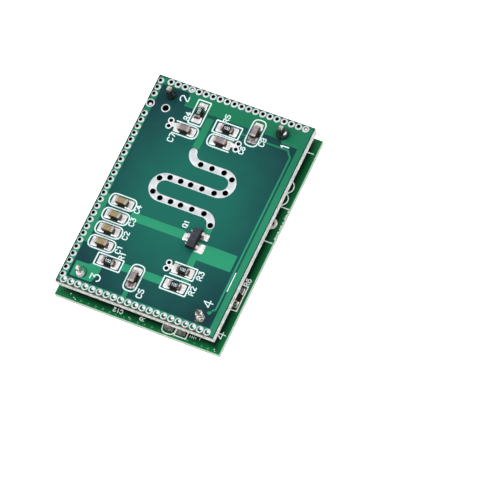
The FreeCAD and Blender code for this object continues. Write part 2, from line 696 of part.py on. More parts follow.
def build():
    """Every node by name, as a list of its solids."""
    nodes = {"rf_board": [rf_board()], "tuning_line": [tuning_line()], "control_board": [control_board()]}

    bodies, ends, solder = chip_set(RF_CHIPS, on_rf)
    case, leads, pads = transistor()
    nodes.update(bodies)
    nodes["rf_chip_ends"] = ends
    nodes["transistor_case"] = case
    nodes["transistor_leads"] = leads
    nodes["rf_solder_pads"] = solder + pads

    bodies, ends, solder = chip_set(INNER_CHIPS, on_control)
    nodes.update(bodies)
    nodes["inner_chip_ends"] = ends
    nodes["inner_solder_pads"] = solder

    bodies, ends, solder = chip_set(UNDER_CHIPS, under_control)
    case, leads, pads = signal_chip()
    regulator_case, regulator_leads, regulator_pads = regulator()
    nodes.update(bodies)
    nodes["under_chip_ends"] = ends
    nodes["signal_chip_case"] = case
    nodes["signal_chip_leads"] = leads
    nodes["regulator_case"] = regulator_case
    nodes["regulator_leads"] = regulator_leads
    nodes["under_solder_pads"] = solder + pads + regulator_pads

    for name, place in link_pins().items():
        nodes[name] = [link_pin(place)]
        nodes[name.replace("pin", "spacer")] = [link_spacer(place)]
    nodes["upper_link_joints"], nodes["lower_link_joints"] = link_joints()

    nodes["socket_shroud"] = [socket_shroud()]
    nodes["socket_pins"] = socket_pins()
    nodes["socket_pin_joints"] = socket_joints()
    return nodes


os.makedirs("parts", exist_ok=True)
for node, solids in build().items():
    shape = solids[0] if len(solids) == 1 else Part.makeCompound(solids)
    shape.exportStep("parts/" + node + ".step")
    print(node, len(shape.Solids), round(shape.Volume, 3), shape.isValid())
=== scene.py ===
import math
import random

import bmesh
import bpy
from mathutils import Matrix, Vector
from mathutils.geometry import delaunay_2d_cdt


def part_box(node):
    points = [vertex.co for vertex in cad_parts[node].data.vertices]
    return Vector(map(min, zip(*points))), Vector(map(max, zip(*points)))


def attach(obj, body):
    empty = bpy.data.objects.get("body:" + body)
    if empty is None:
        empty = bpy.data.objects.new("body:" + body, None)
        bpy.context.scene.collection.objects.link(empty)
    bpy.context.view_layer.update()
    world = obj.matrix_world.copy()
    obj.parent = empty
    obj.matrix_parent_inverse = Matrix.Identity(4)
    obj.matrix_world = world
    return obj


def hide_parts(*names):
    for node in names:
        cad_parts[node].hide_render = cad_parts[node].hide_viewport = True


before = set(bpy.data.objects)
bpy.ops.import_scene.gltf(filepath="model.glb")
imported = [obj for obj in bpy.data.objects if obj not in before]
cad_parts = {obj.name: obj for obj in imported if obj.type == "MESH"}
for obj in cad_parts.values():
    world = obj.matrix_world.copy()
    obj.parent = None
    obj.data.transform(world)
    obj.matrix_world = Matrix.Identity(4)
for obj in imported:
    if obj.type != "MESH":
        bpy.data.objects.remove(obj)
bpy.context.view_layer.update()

# Looks of the microwave radar sensor module. Shapes are worked out in millimetres and scaled at the end.
MM = 0.001
RANDOM_SEED = 7
scene = bpy.context.scene
dice = random.Random(RANDOM_SEED)


def node_box(node):
    low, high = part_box(node)
    return low / MM, high / MM


def about(value, spread):
    """A value moved up or down by chance."""
    return value + dice.uniform(-spread, spread)


RF_LOW, RF_HIGH = node_box("rf_board")
CONTROL_LOW, CONTROL_HIGH = node_box("control_board")
RF_MIDDLE = (RF_LOW + RF_HIGH) / 2
RF_HALF = (RF_HIGH - RF_LOW) / 2
RF_TOP = RF_HIGH.z
CONTROL_TOP = CONTROL_HIGH.z
CONTROL_UNDER = CONTROL_LOW.z

# How far the layers stand above a board's face
COPPER_RISE = 0.04
PAD_RISE = 0.05
PRINT_RISE = 0.055
PRINT_WIDTH = 0.19


# Materials

def srgb(red, green, blue):
    """A colour as it is seen on a screen, in the linear values that nodes take."""
    return tuple(((c / 255 + 0.055) / 1.055) ** 2.4 for c in (red, green, blue)) + (1.0,)


def add_node(tree, kind, inputs=(), **settings):
    """A node with its settings, and its inputs given as values or linked outputs."""
    node = tree.nodes.new(kind if kind.startswith(("Geometry", "Function")) else "ShaderNode" + kind)
    for name, value in settings.items():
        setattr(node, name, value)
    for key, value in dict(inputs).items():
        if isinstance(value, bpy.types.NodeSocket):
            tree.links.new(value, node.inputs[key])
        else:
            node.inputs[key].default_value = value
    return node


def maths(tree, operation, *values):
    return add_node(tree, "Math", dict(enumerate(values)), operation=operation).outputs[0]


def vectors(tree, operation, *values, output="Vector"):
    return add_node(tree, "VectorMath", dict(enumerate(values)), operation=operation).outputs[output]


def axis_of(tree, vector, axis):
    return add_node(tree, "SeparateXYZ", {0: vector}).outputs[axis]


def object_place(tree):
    return add_node(tree, "TexCoord").outputs["Object"]


def facing(tree, axis):
    """How much a surface looks along an axis."""
    return axis_of(tree, add_node(tree, "NewGeometry").outputs["Normal"], axis)


def object_noise(tree, scale, detail=3.0, stretch=None):
    """Noise in Object coordinates. Scale is in features per metre."""
    place = object_place(tree)
    if stretch is not None:
        place = vectors(tree, "MULTIPLY", place, stretch)
    return add_node(tree, "TexNoise", {"Vector": place, "Scale": scale, "Detail": detail}).outputs["Fac"]


def sharpened(tree, value, low, high):
    inputs = {"Value": value, "From Min": low, "From Max": high}
    return add_node(tree, "MapRange", inputs).outputs["Result"]


def mixed(tree, share, first, second):
    return add_node(tree, "Mix", {0: share, 6: first, 7: second}, data_type="RGBA").outputs[2]


def new_group(name, inputs, outputs):
    """A shader group with the ends of its input and output nodes. An input without a value is a colour."""
    tree = bpy.data.node_groups.new(name, "ShaderNodeTree")
    for label, value in inputs.items():
        kind = "NodeSocketColor" if value is None else "NodeSocketFloat"
        socket = tree.interface.new_socket(label, in_out="INPUT", socket_type=kind)
        if value is not None:
            socket.default_value = value
    for label, kind in outputs.items():
        tree.interface.new_socket(label, in_out="OUTPUT", socket_type="NodeSocket" + kind)
    return tree, tree.nodes.new("NodeGroupInput").outputs, tree.nodes.new("NodeGroupOutput").inputs


def grain_group():
    """Fine surface relief: a value between 0 and 1, and the normal that it gives."""
    inputs = {"Scale": 9000.0, "Height": 0.00001, "Strength": 0.5}
    tree, given, result = new_group("fine_grain", inputs, {"Value": "Float", "Normal": "Vector"})
    noise = object_noise(tree, given["Scale"], 4.0)
    bump = add_node(tree, "Bump", {"Strength": given["Strength"], "Distance": given["Height"],
                                   "Height": noise})
    tree.links.new(noise, result["Value"])
    tree.links.new(bump.outputs["Normal"], result["Normal"])
    return tree


def clouds_group():
    """Two colours in soft patches."""
    inputs = {"First": None, "Second": None, "Scale": 600.0, "Low": 0.35, "High": 0.65}
    tree, given, result = new_group("colour_clouds", inputs, {"Color": "Color"})
    mask = sharpened(tree, object_noise(tree, given["Scale"]), given["Low"], given["High"])
    tree.links.new(mixed(tree, mask, given["First"], given["Second"]), result["Color"])
    return tree


# How deep, in metres, the line on a board's cut edge reaches
EDGE_LINE_DEPTH = 0.00035


def laminate_group():
    """A board's cut edge: pale glass cloth in long streaks, with a line under the top.

    The line lies only on the faces that look along Y, unless it runs all round."""
    inputs = {"Pale": None, "Dark": None, "Line": None, "Top": 0.01, "All round": 0.0}
    tree, given, result = new_group("cut_laminate", inputs, {"Color": "Color"})
    streaks = object_noise(tree, 1500.0, 4.0, (1.0, 1.0, 2.5))
    both = maths(tree, "ADD", streaks, object_noise(tree, 4200.0, 2.0))
    cloth = mixed(tree, sharpened(tree, both, 0.84, 1.08), given["Dark"], given["Pale"])
    depth = maths(tree, "SUBTRACT", given["Top"], axis_of(tree, object_place(tree), "Z"))
    near = maths(tree, "DIVIDE", depth, EDGE_LINE_DEPTH)
    where = maths(tree, "MAXIMUM", maths(tree, "ABSOLUTE", facing(tree, "Y")), given["All round"])
    line = maths(tree, "MULTIPLY", sharpened(tree, near, 1.2, 0.7), where)
    tree.links.new(mixed(tree, line, cloth, given["Line"]), result["Color"])
    return tree


def level_group():
    """A mask that is one where a surface lies level and nought where it stands upright."""
    tree, given, result = new_group("level_mask", {"Soft": 0.1}, {"Mask": "Float"})
    level = maths(tree, "ABSOLUTE", facing(tree, "Z"))
    low, high = (maths(tree, way, 0.5, given["Soft"]) for way in ("SUBTRACT", "ADD"))
    tree.links.new(sharpened(tree, level, low, high), result["Mask"])
    return tree


GRAIN, CLOUDS, LAMINATE, LEVEL = grain_group(), clouds_group(), laminate_group(), level_group()


def add_group(tree, group, **inputs):
    """A shared group with some of its inputs set. Its outputs are given back."""
    node = tree.nodes.new("ShaderNodeGroup")
    node.node_tree = group
    for key, value in inputs.items():
        node.inputs[key.replace("_", " ")].default_value = value
    return node.outputs


def clouded(tree, first, second, scale, low=0.35, high=0.65):
    """Patches of two colours, which are given as they are seen on a screen."""
    colours = {"First": srgb(*first), "Second": srgb(*second)}
    return add_group(tree, CLOUDS, Scale=scale, Low=low, High=high, **colours)["Color"]


def new_material(name, metallic=0.0, shine=0.5):
    """A material with an empty node tree but for its shader and output."""
    material = bpy.data.materials.new(name)
    material.use_nodes = True
    tree = material.node_tree
    shader = tree.nodes["Principled BSDF"]
    shader.inputs["Metallic"].default_value = metallic
    shader.inputs["Specular IOR Level"].default_value = shine
    return material, tree, shader


def finish_surface(tree, shader, colour, rough, scale, height, strength):
    """Joins a colour, a fine grain, and a roughness that runs between two values with the grain."""
    grain = add_group(tree, GRAIN, Scale=scale, Height=height, Strength=strength)
    tree.links.new(colour, shader.inputs["Base Color"])
    spread = add_node(tree, "MapRange", {"Value": grain["Value"], "From Min": 0.3, "From Max": 0.7,
                                         "To Min": rough[0], "To Max": rough[1]})
    tree.links.new(spread.outputs["Result"], shader.inputs["Roughness"])
    tree.links.new(grain["Normal"], shader.inputs["Normal"])


def plain(name, first, second, rough, clouds=600.0, grain=9000.0, height=0.00001, strength=0.4,
          cut=(0.35, 0.65), **shader):
    """A material of two clouded colours with a fine grain."""
    material, tree, bsdf = new_material(name, **shader)
    finish_surface(tree, bsdf, clouded(tree, first, second, clouds, *cut), rough, grain, height, strength)
    return material


# How much darker the second colour of an upright face is, in the painted shade on the sides
UPRIGHT_SHADE = 0.6


def side_shaded(name, first, second, side, rough, clouds=2200.0, grain=12000.0, height=0.00001, **shader):
    """A material of two clouded colours on level faces, and of one darker colour, a painted shade, on upright
    ones.
    """
    material, tree, bsdf = new_material(name, **shader)
    level = add_group(tree, LEVEL, Soft=0.2)["Mask"]
    upright = clouded(tree, side, [c * UPRIGHT_SHADE for c in side], clouds)
    colour = mixed(tree, level, upright, clouded(tree, first, second, clouds))
    finish_surface(tree, bsdf, colour, rough, grain, height, 0.4)
    return material


# Grain of the solder mask: scale, height and strength
MASK_GRAIN = (2600.0, 0.000006, 0.25)
MASK_SHINE = 0.14

# The two places, in metres, between which a mask changes. The copper's lie along the board, the painted
# corner shade's and the rim's end out from the radio board's middle, and the others, for the rim and the
# painted shadow under that board, out from its outline.
COPPER_DARKENS = (0.004, 0.0145)
CORNER_SHADE_FADES = (0.006, 0.0145)
RIM_ENDS = (0.01088, 0.01084)
RIM_BEGINS = (-0.00016, -0.00013)
PAINTED_SHADOW_FADES = (-0.00042, 0.00092)


def copper_material(name, upper, lower):
    """Solder mask over copper, which is darker in the upper third of the board."""
    material, tree, shader = new_material(name, shine=MASK_SHINE)
    wave = maths(tree, "MULTIPLY", object_noise(tree, 300.0), 0.004)
    height = maths(tree, "ADD", axis_of(tree, object_place(tree), "Y"), wave)
    colour = mixed(tree, sharpened(tree, height, *COPPER_DARKENS), srgb(*lower), srgb(*upper))
    finish_surface(tree, shader, colour, (0.22, 0.32), *MASK_GRAIN)
    return material


def board_material(name, middle, corner, pale, dark, line, top, rim=None, shade=None):
    """Solder mask on the flat faces, with painted shade towards the corners and a painted pool of light in
    the middle, and cut laminate on the sides.

    The rim is the colour of a thin line along the radio board's outline but for its right side. The painted
    shade is the colour of a painted shadow on the mask's upper face under that board."""
    material, tree, shader = new_material(name, shine=MASK_SHINE)
    offset = vectors(tree, "SUBTRACT", object_place(tree), RF_MIDDLE * MM)
    # Painted light: the mask is lighter in the middle and takes painted shade towards the corners
    reach = vectors(tree, "LENGTH", vectors(tree, "MULTIPLY", offset, (1.0, 0.8, 0.0)), output="Value")
    weave = object_noise(tree, 420.0, 2.0)
    reach = maths(tree, "ADD", reach, maths(tree, "MULTIPLY", weave, 0.003))
    mask = mixed(tree, sharpened(tree, reach, *CORNER_SHADE_FADES), srgb(*middle), srgb(*corner))
    # How far, in metres, a place lies outside the radio board in plan
    beyond = vectors(tree, "SUBTRACT", vectors(tree, "ABSOLUTE", offset), RF_HALF * MM)
    beyond = maths(tree, "MAXIMUM", axis_of(tree, beyond, "X"), axis_of(tree, beyond, "Y"))
    if rim is not None:
        side = sharpened(tree, axis_of(tree, offset, "X"), *RIM_ENDS)
        thin = maths(tree, "MULTIPLY", sharpened(tree, beyond, *RIM_BEGINS), side)
        mask = mixed(tree, thin, mask, srgb(*rim))
    # Painted shadow: the upper face takes the painted shade colour under the radio board and a little way out
    # from it, while faces that look down keep the mask's colour
    if shade is not None:
        reached = maths(tree, "ADD", beyond, maths(tree, "MULTIPLY", weave, 0.0003))
        lit = sharpened(tree, reached, *PAINTED_SHADOW_FADES)
        below = sharpened(tree, facing(tree, "Z"), 0.5, -0.5)
        mask = mixed(tree, maths(tree, "MAXIMUM", lit, below), srgb(*shade), mask)
    edge = add_group(tree, LAMINATE, Pale=srgb(*pale), Dark=srgb(*dark), Line=srgb(*line), Top=top * MM,
                     All_round=0.0 if shade is None else 1.0)
    colour = mixed(tree, add_group(tree, LEVEL)["Mask"], edge["Color"], mask)
    finish_surface(tree, shader, colour, (0.24, 0.34), *MASK_GRAIN)
    return material


# Both masks have painted shade towards the corners, and the control board's mask also has a painted shadow
# under the radio board
MASK = board_material("radio_board", (18, 94, 82), (11, 55, 59), (206, 208, 202), (134, 134, 127),
                      (78, 72, 40), RF_TOP, rim=(34, 44, 32))
COPPER = copper_material("covered_copper", (28, 118, 82), (37, 138, 102))
FRAME_COPPER = copper_material("covered_copper_frame", (20, 108, 76), (34, 126, 92))
CONTROL_MASK = board_material("control_board", (30, 144, 81), (26, 131, 74), (176, 186, 172), (146, 152, 140),
                              (150, 184, 156), CONTROL_TOP, shade=(12, 42, 27))
INK = {"clouds": 2500.0, "grain": 16000.0, "height": 0.000006}
SATIN = {"clouds": 1500.0, "grain": 3000.0, "height": 0.00002}
COVERED = plain("covered_via", (74, 168, 112), (50, 144, 88), (0.25, 0.4), clouds=2500.0, shine=0.2)
PRINT = plain("white_print", (224, 242, 240), (204, 226, 224), (0.45, 0.6), **INK)
# A brighter copy of the print, painted light against the shade under the radio board; the underside print and
# small vias take it too
LOW_PRINT = plain("lower_print", (250, 254, 252), (236, 246, 242), (0.45, 0.6), **INK)
TINNED = plain("tinned_copper", (212, 216, 218), (196, 202, 205), (0.34, 0.5), clouds=1500.0,
               grain=7000.0, height=0.000012, metallic=0.5)
SOLDER = plain("solder", (250, 247, 247), (214, 207, 207), (0.16, 0.34), clouds=1800.0, grain=2600.0,
               height=0.00002, strength=0.35, metallic=0.6)
# A darker copy of the solder, as painted shade on the pads of the chips under the radio board; the underside
# chips take it too
SHADED_SOLDER = plain("dull_solder", (236, 230, 222), (140, 136, 128), (0.25, 0.45), clouds=2200.0,
                    metallic=0.8)
# Satin solder, also used for a painted highlight on pin 1
SATIN_SOLDER_AND_HIGHLIGHT = plain("satin_solder", (250, 245, 247), (204, 196, 200), (0.25, 0.42), metallic=0.25, **SATIN)
MOTTLED = plain("mottled_solder", (250, 244, 240), (18, 24, 20), (0.2, 0.4), clouds=3400.0, grain=2600.0,
                height=0.00004, strength=0.7, cut=(0.5, 0.58), metallic=0.3)
ROUGH = plain("rough_solder", (226, 214, 212), (64, 56, 54), (0.2, 0.4), clouds=2400.0, grain=2600.0,
              height=0.00003, strength=0.6, metallic=0.4)
VIA_SOLDER = plain("via_solder", (226, 232, 233), (206, 214, 217), (0.42, 0.58), clouds=1500.0, grain=3000.0,
                   height=0.000015, metallic=0.2)
PIN_SOLDER = plain("mottled_pin", (214, 206, 200), (74, 72, 66), (0.25, 0.45), clouds=2000.0, cut=(0.42, 0.6),
                   metallic=0.6)
RING_GREEN = plain("dark_residue", (14, 52, 40), (8, 30, 24), (0.4, 0.6), clouds=2600.0, shine=0.2)
LOW_COPPER = plain("covered_low_copper", (52, 176, 104), (44, 164, 94), (0.25, 0.4), shine=0.2)
# Painted shadow and reflection of the chips on their pads
PAD_SHADE = plain("dull_flux", (128, 116, 106), (70, 64, 56), (0.2, 0.4), clouds=2600.0)
PASTE = plain("sensor_solder", (220, 206, 202), (186, 170, 166), (0.35, 0.5), metallic=0.2, **SATIN)
BARREL = plain("plated_hole", (24, 23, 21), (12, 12, 11), (0.5, 0.7), metallic=0.6)
PIN_METAL = plain("tinned_pin", (226, 214, 208), (172, 160, 152), (0.24, 0.42), clouds=1600.0, metallic=0.9)
# Dark brown of baked flux, also used for a painted shadow under the chips
FLUX_AND_SHADE = plain("baked_flux", (46, 38, 22), (20, 20, 12), (0.16, 0.3), clouds=2600.0)
CHIPPED = plain("chipped_laminate", (232, 238, 228), (206, 214, 200), (0.5, 0.7), clouds=2600.0)
LEAD_METAL = plain("tinned_lead", (232, 226, 226), (206, 200, 202), (0.28, 0.44), metallic=0.5)
# Chip bodies, metal ends and the transistor's case, with painted shade on their upright faces
TAN = side_shaded("tan_ceramic", (150, 136, 100), (130, 114, 80), (62, 46, 24), (0.38, 0.52), shine=0.3)
MAUVE = side_shaded("mauve_ceramic", (146, 134, 138), (118, 106, 112), (62, 54, 56), (0.38, 0.52), shine=0.3)
CAP = side_shaded("tinned_cap", (196, 188, 178), (150, 142, 134), (58, 50, 42), (0.25, 0.42), metallic=0.5)
DARK_CAP = side_shaded("dark_cap", (186, 178, 174), (84, 78, 74), (40, 36, 34), (0.25, 0.42), metallic=0.5)
BLACK_GLAZE = plain("black_glaze", (26, 24, 26), (14, 13, 15), (0.28, 0.42), clouds=1800.0, shine=0.2)
CASE = side_shaded("moulded_case", (53, 55, 64), (40, 41, 50), (12, 12, 14), (0.45, 0.62), clouds=1500.0,
               grain=15000.0, height=0.00002, shine=0.3)
CASE_MARK = plain("case_mark", (74, 80, 86), (60, 66, 72), (0.5, 0.6))
SPACER = plain("black_nylon", (34, 34, 36), (24, 24, 26), (0.4, 0.55), clouds=900.0)
NYLON = plain("white_nylon", (236, 233, 222), (226, 222, 208), (0.38, 0.52), clouds=500.0, grain=6000.0)
# Dark flux-covered solder, also used for a painted shadow round pin 4
DARK_SOLDER_AND_SHADOW = plain("flux_dark_solder", (26, 40, 34), (8, 16, 14), (0.14, 0.3), clouds=2600.0, grain=2400.0,
              height=0.00004, strength=0.6)


# Shapes and pieces

# Points nearer than this, in millimetres, become one
JOINED = 0.0002


def new_object(name, data):
    made = bpy.data.objects.new(name, data)
    scene.collection.objects.link(made)
    return made


def new_mesh(name, points, faces=()):
    mesh = bpy.data.meshes.new(name)
    mesh.from_pydata(points, [], faces)
    return mesh


def set_piece(name, mesh, material, hides=(), angle=40):
    """Makes a mesh in millimetres a piece of the model, with its normals outward."""
    bulk = bmesh.new()
    bulk.from_mesh(mesh)
    bmesh.ops.remove_doubles(bulk, verts=bulk.verts, dist=JOINED)
    bmesh.ops.recalc_face_normals(bulk, faces=bulk.faces)
    bmesh.ops.scale(bulk, vec=(MM, MM, MM), verts=bulk.verts)
    bulk.to_mesh(mesh)
    bulk.free()
    mesh.name = name
    mesh.materials.clear()
    mesh.materials.append(material)
    mesh.shade_smooth()
    mesh.set_sharp_from_angle(angle=math.radians(angle))
    piece = new_object(name, mesh)
    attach(piece, "root")
    if hides:
        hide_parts(*hides)


class Stock:
    """Points and faces, in millimetres, gathered for one piece."""

    def __init__(self):
        self.points = []
        self.faces = []

    def add(self, points, faces, place=Matrix.Identity(4)):
        first = len(self.points)
        self.points += [place @ Vector(p) for p in points]
        self.faces += [[first + k for k in face] for face in faces]

    def mesh(self, name):
        return new_mesh(name, self.points, self.faces)

    def piece(self, name, material, slot="tinned_solder", hides=(), angle=40):
        set_piece(name, self.mesh(name), material, hides, angle)


def anticlockwise(loop):
    area = sum(x0 * y1 - x1 * y0 for (x0, y0), (x1, y1) in zip(loop, loop[1:] + loop[:1]))
    return loop if area > 0 else loop[::-1]


def plate(loops, z, thick, edge):
    """Points and faces of a thin plate with chamfered edges: an outline, then the holes in it."""
    low, high, ties, rings = [], [], [], []
    for k, loop in enumerate(loops):
        loop = anticlockwise(loop)
        inward = edge if k == 0 else -edge
        first, count = len(low), len(loop)
        low += [Vector(p) for p in loop]
        high += [Vector(p) + side * inward for p, side in zip(loop, sideways(loop, True))]
        ties += [(first + j, first + (j + 1) % count) for j in range(count)]
        rings.append(list(range(first, first + count)))
    flat = delaunay_2d_cdt(high, [], rings, 2, 1e-6)
    cover = [[flat[3][v][0] for v in face] for face in flat[2]]
    size = len(low)
    points = [(*p, z) for p in low] + [(*p, z + thick - edge) for p in low] + [(*p, z + thick) for p in high]
    faces = [[v + 2 * size for v in face] for face in cover] + [face[::-1] for face in cover]
    for level in (0, size):
        faces += [[a + level, b + level, b + level + size, a + level + size] for a, b in ties]
    return points, faces


def arc(centre, radius, start, stop, count):
    """Points on an arc that runs between two angles in degrees."""
    turns = [math.radians(start + (stop - start) * k / count) for k in range(count + 1)]
    return [(centre[0] + radius * math.cos(t), centre[1] + radius * math.sin(t)) for t in turns]


def circle(x, y, radius, count):
    return arc((x, y), radius, 0, 360, count)[:-1]


def rounded(points, radius, count=4):
    """The corners of a plan figure, each replaced by a short arc."""
    result = []
    for k, (x, y) in enumerate(points):
        corner = Vector((x, y))
        before = Vector(points[k - 1]) - corner
        after = Vector(points[(k + 1) % len(points)]) - corner
        # Less than half a side, so that two arcs don't meet
        cut = min(radius, before.length / 2.1, after.length / 2.1)
        start, stop = corner + before.normalized() * cut, corner + after.normalized() * cut
        for step in range(count + 1):
            t = step / count
            result.append(tuple((1 - t) ** 2 * start + 2 * t * (1 - t) * corner + t * t * stop))
    return result


def rectangle(x0, x1, y0, y1, radius):
    return rounded([(x0, y0), (x1, y0), (x1, y1), (x0, y1)], radius)


def oblong(x, y, width, length, radius):
    """A rectangle given from its middle."""
    return rectangle(x - width / 2, x + width / 2, y - length / 2, y + length / 2, radius)


# The least cosine that a mitred corner is worked out with
MITRE_LIMIT = 0.4


def sideways(points, closed):
    """For each point of a path, the direction to its left, long enough to keep a mitred width."""
    result = []
    last = len(points) - 1
    for k, point in enumerate(points):
        before = points[k - 1] if k or closed else None
        after = points[(k + 1) % len(points)] if k < last or closed else None
        normals = []
        for a, b in ((before, point), (point, after)):
            if a is not None and b is not None:
                run = (Vector(b) - Vector(a)).normalized()
                normals.append(Vector((-run.y, run.x)))
        mean = sum(normals, Vector((0, 0))).normalized()
        result.append(mean / max(MITRE_LIMIT, mean.dot(normals[0])))
    return result


def stroke_outline(points, width):
    """The outline of an open path drawn with a round pen."""
    sides = sideways(points, False)
    left = [Vector(p) + s * width / 2 for p, s in zip(points, sides)]
    right = [Vector(p) - s * width / 2 for p, s in zip(points, sides)]

    def cap(index, way):
        angle = math.degrees(math.atan2(sides[index].y, sides[index].x)) + (180 if way > 0 else 0)
        return arc(points[index], width / 2, angle, angle + 180, 10)[1:-1]

    return [tuple(p) for p in right] + cap(-1, 1) + [tuple(p) for p in reversed(left)] + cap(0, -1)


# Printed lines: extra rise, spread of the width, its flat share, and where the round ends have stations
RIBBON_RISE = 0.006
RIBBON_SPREAD = (0.92, 1.08)
RIBBON_FLAT = 0.8
RIBBON_END = (0.35, 0.7, 0.93)


def ribbon(stock, points, width, z, closed=False, place=Matrix.Identity(4)):
    """A flat printed line with round ends and slightly uneven edges."""
    sides = sideways(points, closed)
    stations = [(Vector(p), s, 1.0) for p, s in zip(points, sides)]
    if not closed:
        for index, way in ((0, -1), (-1, 1)):
            point, side, _ = stations[index]
            ahead = Vector((side.y, -side.x)) * way
            for step in RIBBON_END:
                extra = (point + ahead * width / 2 * step, side, math.sqrt(1 - step * step))
                if index:
                    stations.append(extra)
                else:
                    stations.insert(0, extra)
    rise = PRINT_RISE + dice.uniform(0, RIBBON_RISE)
    corners = []
    for point, side, share in stations:
        half = side * (width / 2 * share * dice.uniform(*RIBBON_SPREAD))
        for reach, level in ((1, z), (RIBBON_FLAT, z + rise), (-RIBBON_FLAT, z + rise), (-1, z)):
            corners.append((*(point + half * reach), level))
    count = len(stations)
    faces = []
    for k in range(count if closed else count - 1):
        a, b = 4 * k, 4 * ((k + 1) % count)
        faces += [[a + j, b + j, b + (j + 1) % 4, a + (j + 1) % 4] for j in range(4)]
    if not closed:
        faces += [[0, 1, 2, 3], [4 * count - 1 - j for j in range(4)]]
    stock.add(corners, faces, place)


def turned(profile, count, closed=False):
    """Points and faces of a profile of radius and height points turned about Z."""
    points = []
    for k in range(count):
        turn = 2 * math.pi * k / count
        points += [(r * math.cos(turn), r * math.sin(turn), z) for r, z in profile]
    size = len(profile)
    faces = []
    for k in range(count):
        a, b = k * size, (k + 1) % count * size
        faces += [[a + j, b + j, b + j + 1, a + j + 1] for j in range(size - 1)]
        if closed:
            faces.append([a + size - 1, b + size - 1, b, a])
    if not closed:
        faces += [[k * size for k in range(count)], [k * size + size - 1 for k in reversed(range(count))]]
    return points, faces


def soft_box(size, middle, edge, segments=2):
    """Points and faces of a box with rounded edges."""
    bulk = bmesh.new()
    bmesh.ops.create_cube(bulk, size=1.0)
    bmesh.ops.scale(bulk, vec=size, verts=bulk.verts)
    bmesh.ops.bevel(bulk, geom=bulk.edges[:], offset=edge, segments=segments, profile=0.5, affect="EDGES")
    bmesh.ops.translate(bulk, vec=middle, verts=bulk.verts)
    points = [tuple(v.co) for v in bulk.verts]
    faces = [[v.index for v in f.verts] for f in bulk.faces]
    bulk.free()
    return points, faces


# Small shapes repeated on points

FULL_TURN = 6.28


def repeat_tree():
    """A node tree that puts a pattern on every point, each turned and scaled a little differently."""
    tree = bpy.data.node_groups.new("repeat_on_points", "GeometryNodeTree")
    sockets = (("Geometry", "Geometry"), ("Pattern", "Object"), ("Size spread", "Float"),
               ("Height spread", "Float"), ("Turn", "Float"), ("Material", "Material"))
    for label, kind in sockets:
        tree.interface.new_socket(label, in_out="INPUT", socket_type="NodeSocket" + kind)
    tree.interface.new_socket("Geometry", in_out="OUTPUT", socket_type="NodeSocketGeometry")
    given = tree.nodes.new("NodeGroupInput").outputs
    result = tree.nodes.new("NodeGroupOutput").inputs

    def add(kind, inputs, output=0, **settings):
        return add_node(tree, kind, inputs, **settings).outputs[output]

    def about_one(spread, seed):
        low, high = (maths(tree, way, 1.0, given[spread]) for way in ("SUBTRACT", "ADD"))
        return add("FunctionNodeRandomValue", {2: low, 3: high, "Seed": seed}, 1, data_type="FLOAT")

    wide, tall = about_one("Size spread", 3), about_one("Height spread", 5)
    size = add("CombineXYZ", {"X": wide, "Y": wide, "Z": tall})
    turn = add("FunctionNodeRandomValue", {3: given["Turn"]}, 1, data_type="FLOAT")
    spin = add("CombineXYZ", {"Z": turn})
    points = add("GeometryNodeMeshToPoints", {"Mesh": given["Geometry"]})
    pattern = add("GeometryNodeObjectInfo", {"Object": given["Pattern"]}, "Geometry")
    copies = add("GeometryNodeInstanceOnPoints", {"Points": points, "Instance": pattern, "Rotation": spin,
                                                  "Scale": size})
    real = add("GeometryNodeRealizeInstances", {0: copies})
    painted = add("GeometryNodeSetMaterial", {"Geometry": real, "Material": given["Material"]})
    tree.links.new(painted, result[0])
    return tree


REPEAT = repeat_tree()


def repeated(name, pattern, places, material, size=0.0, height=0.0, turn=FULL_TURN, z=RF_TOP,
             slot="tinned_solder"):
    """One piece made of a pattern at every place. Size and height say how much they differ at random."""
    shape = Stock()
    shape.add(*pattern)
    carrier = new_object(name + "_pattern", shape.mesh(name + "_pattern"))
    holder = new_object(name + "_places", new_mesh(name + "_places", [(x, y, z) for x, y in places]))
    modifier = holder.modifiers.new("repeat", "NODES")
    modifier.node_group = REPEAT
    values = {"Pattern": carrier, "Size spread": size, "Height spread": height, "Turn": turn,
              "Material": material}
    for socket in REPEAT.interface.items_tree:
        if socket.in_out == "INPUT" and socket.name in values:
            modifier[socket.identifier] = values[socket.name]
    bpy.context.view_layer.update()
    mesh = bpy.data.meshes.new_from_object(holder.evaluated_get(bpy.context.evaluated_depsgraph_get()))
    bpy.data.objects.remove(holder)
    bpy.data.objects.remove(carrier)
    set_piece(name, mesh, material)


# Materials and soft edges of the part's own nodes, by the first text that a node's name holds

NODE_LOOKS = (
    ("rf_board", MASK, 0), ("control_board", CONTROL_MASK, 0), ("tuning_line", TINNED, 0),
    ("transistor_case", CASE, 0.05), ("_case", CASE, 0.06), ("_leads", LEAD_METAL, 0),
    ("_ends", LEAD_METAL, 0), ("_pads", SOLDER, 0), ("_joints", SOLDER, 0), ("socket_shroud", NYLON, 0.08),
    ("socket_pins", PIN_METAL, 0), ("link_pin_4", PIN_SOLDER, 0.12), ("link_pin", PIN_METAL, 0.12),
    ("link_spacer", SPACER, 0.06), ("resistor", BLACK_GLAZE, 0), ("capacitor", MAUVE, 0),
)
TAN_CHIPS = ["capacitor_c%d" % k for k in range(1, 5)]

for node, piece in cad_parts.items():
    material, edge = next(look[1:] for look in NODE_LOOKS if look[0] in node)
    piece.data.materials.clear()
    piece.data.materials.append(TAN if node in TAN_CHIPS else material)
    if edge:
        weld = piece.modifiers.new("weld", "WELD")
        weld.merge_threshold = 0.001 * MM
        bevel = piece.modifiers.new("soft_edges", "BEVEL")
        bevel.width = edge * MM
        bevel.segments = 3
        bevel.limit_method = "ANGLE"
        bevel.angle_limit = math.radians(25)
        bevel.harden_normals = False


def rf(x, y):
    """A place on the radio board, given from its middle."""
    return RF_MIDDLE.x + x, RF_MIDDLE.y + y


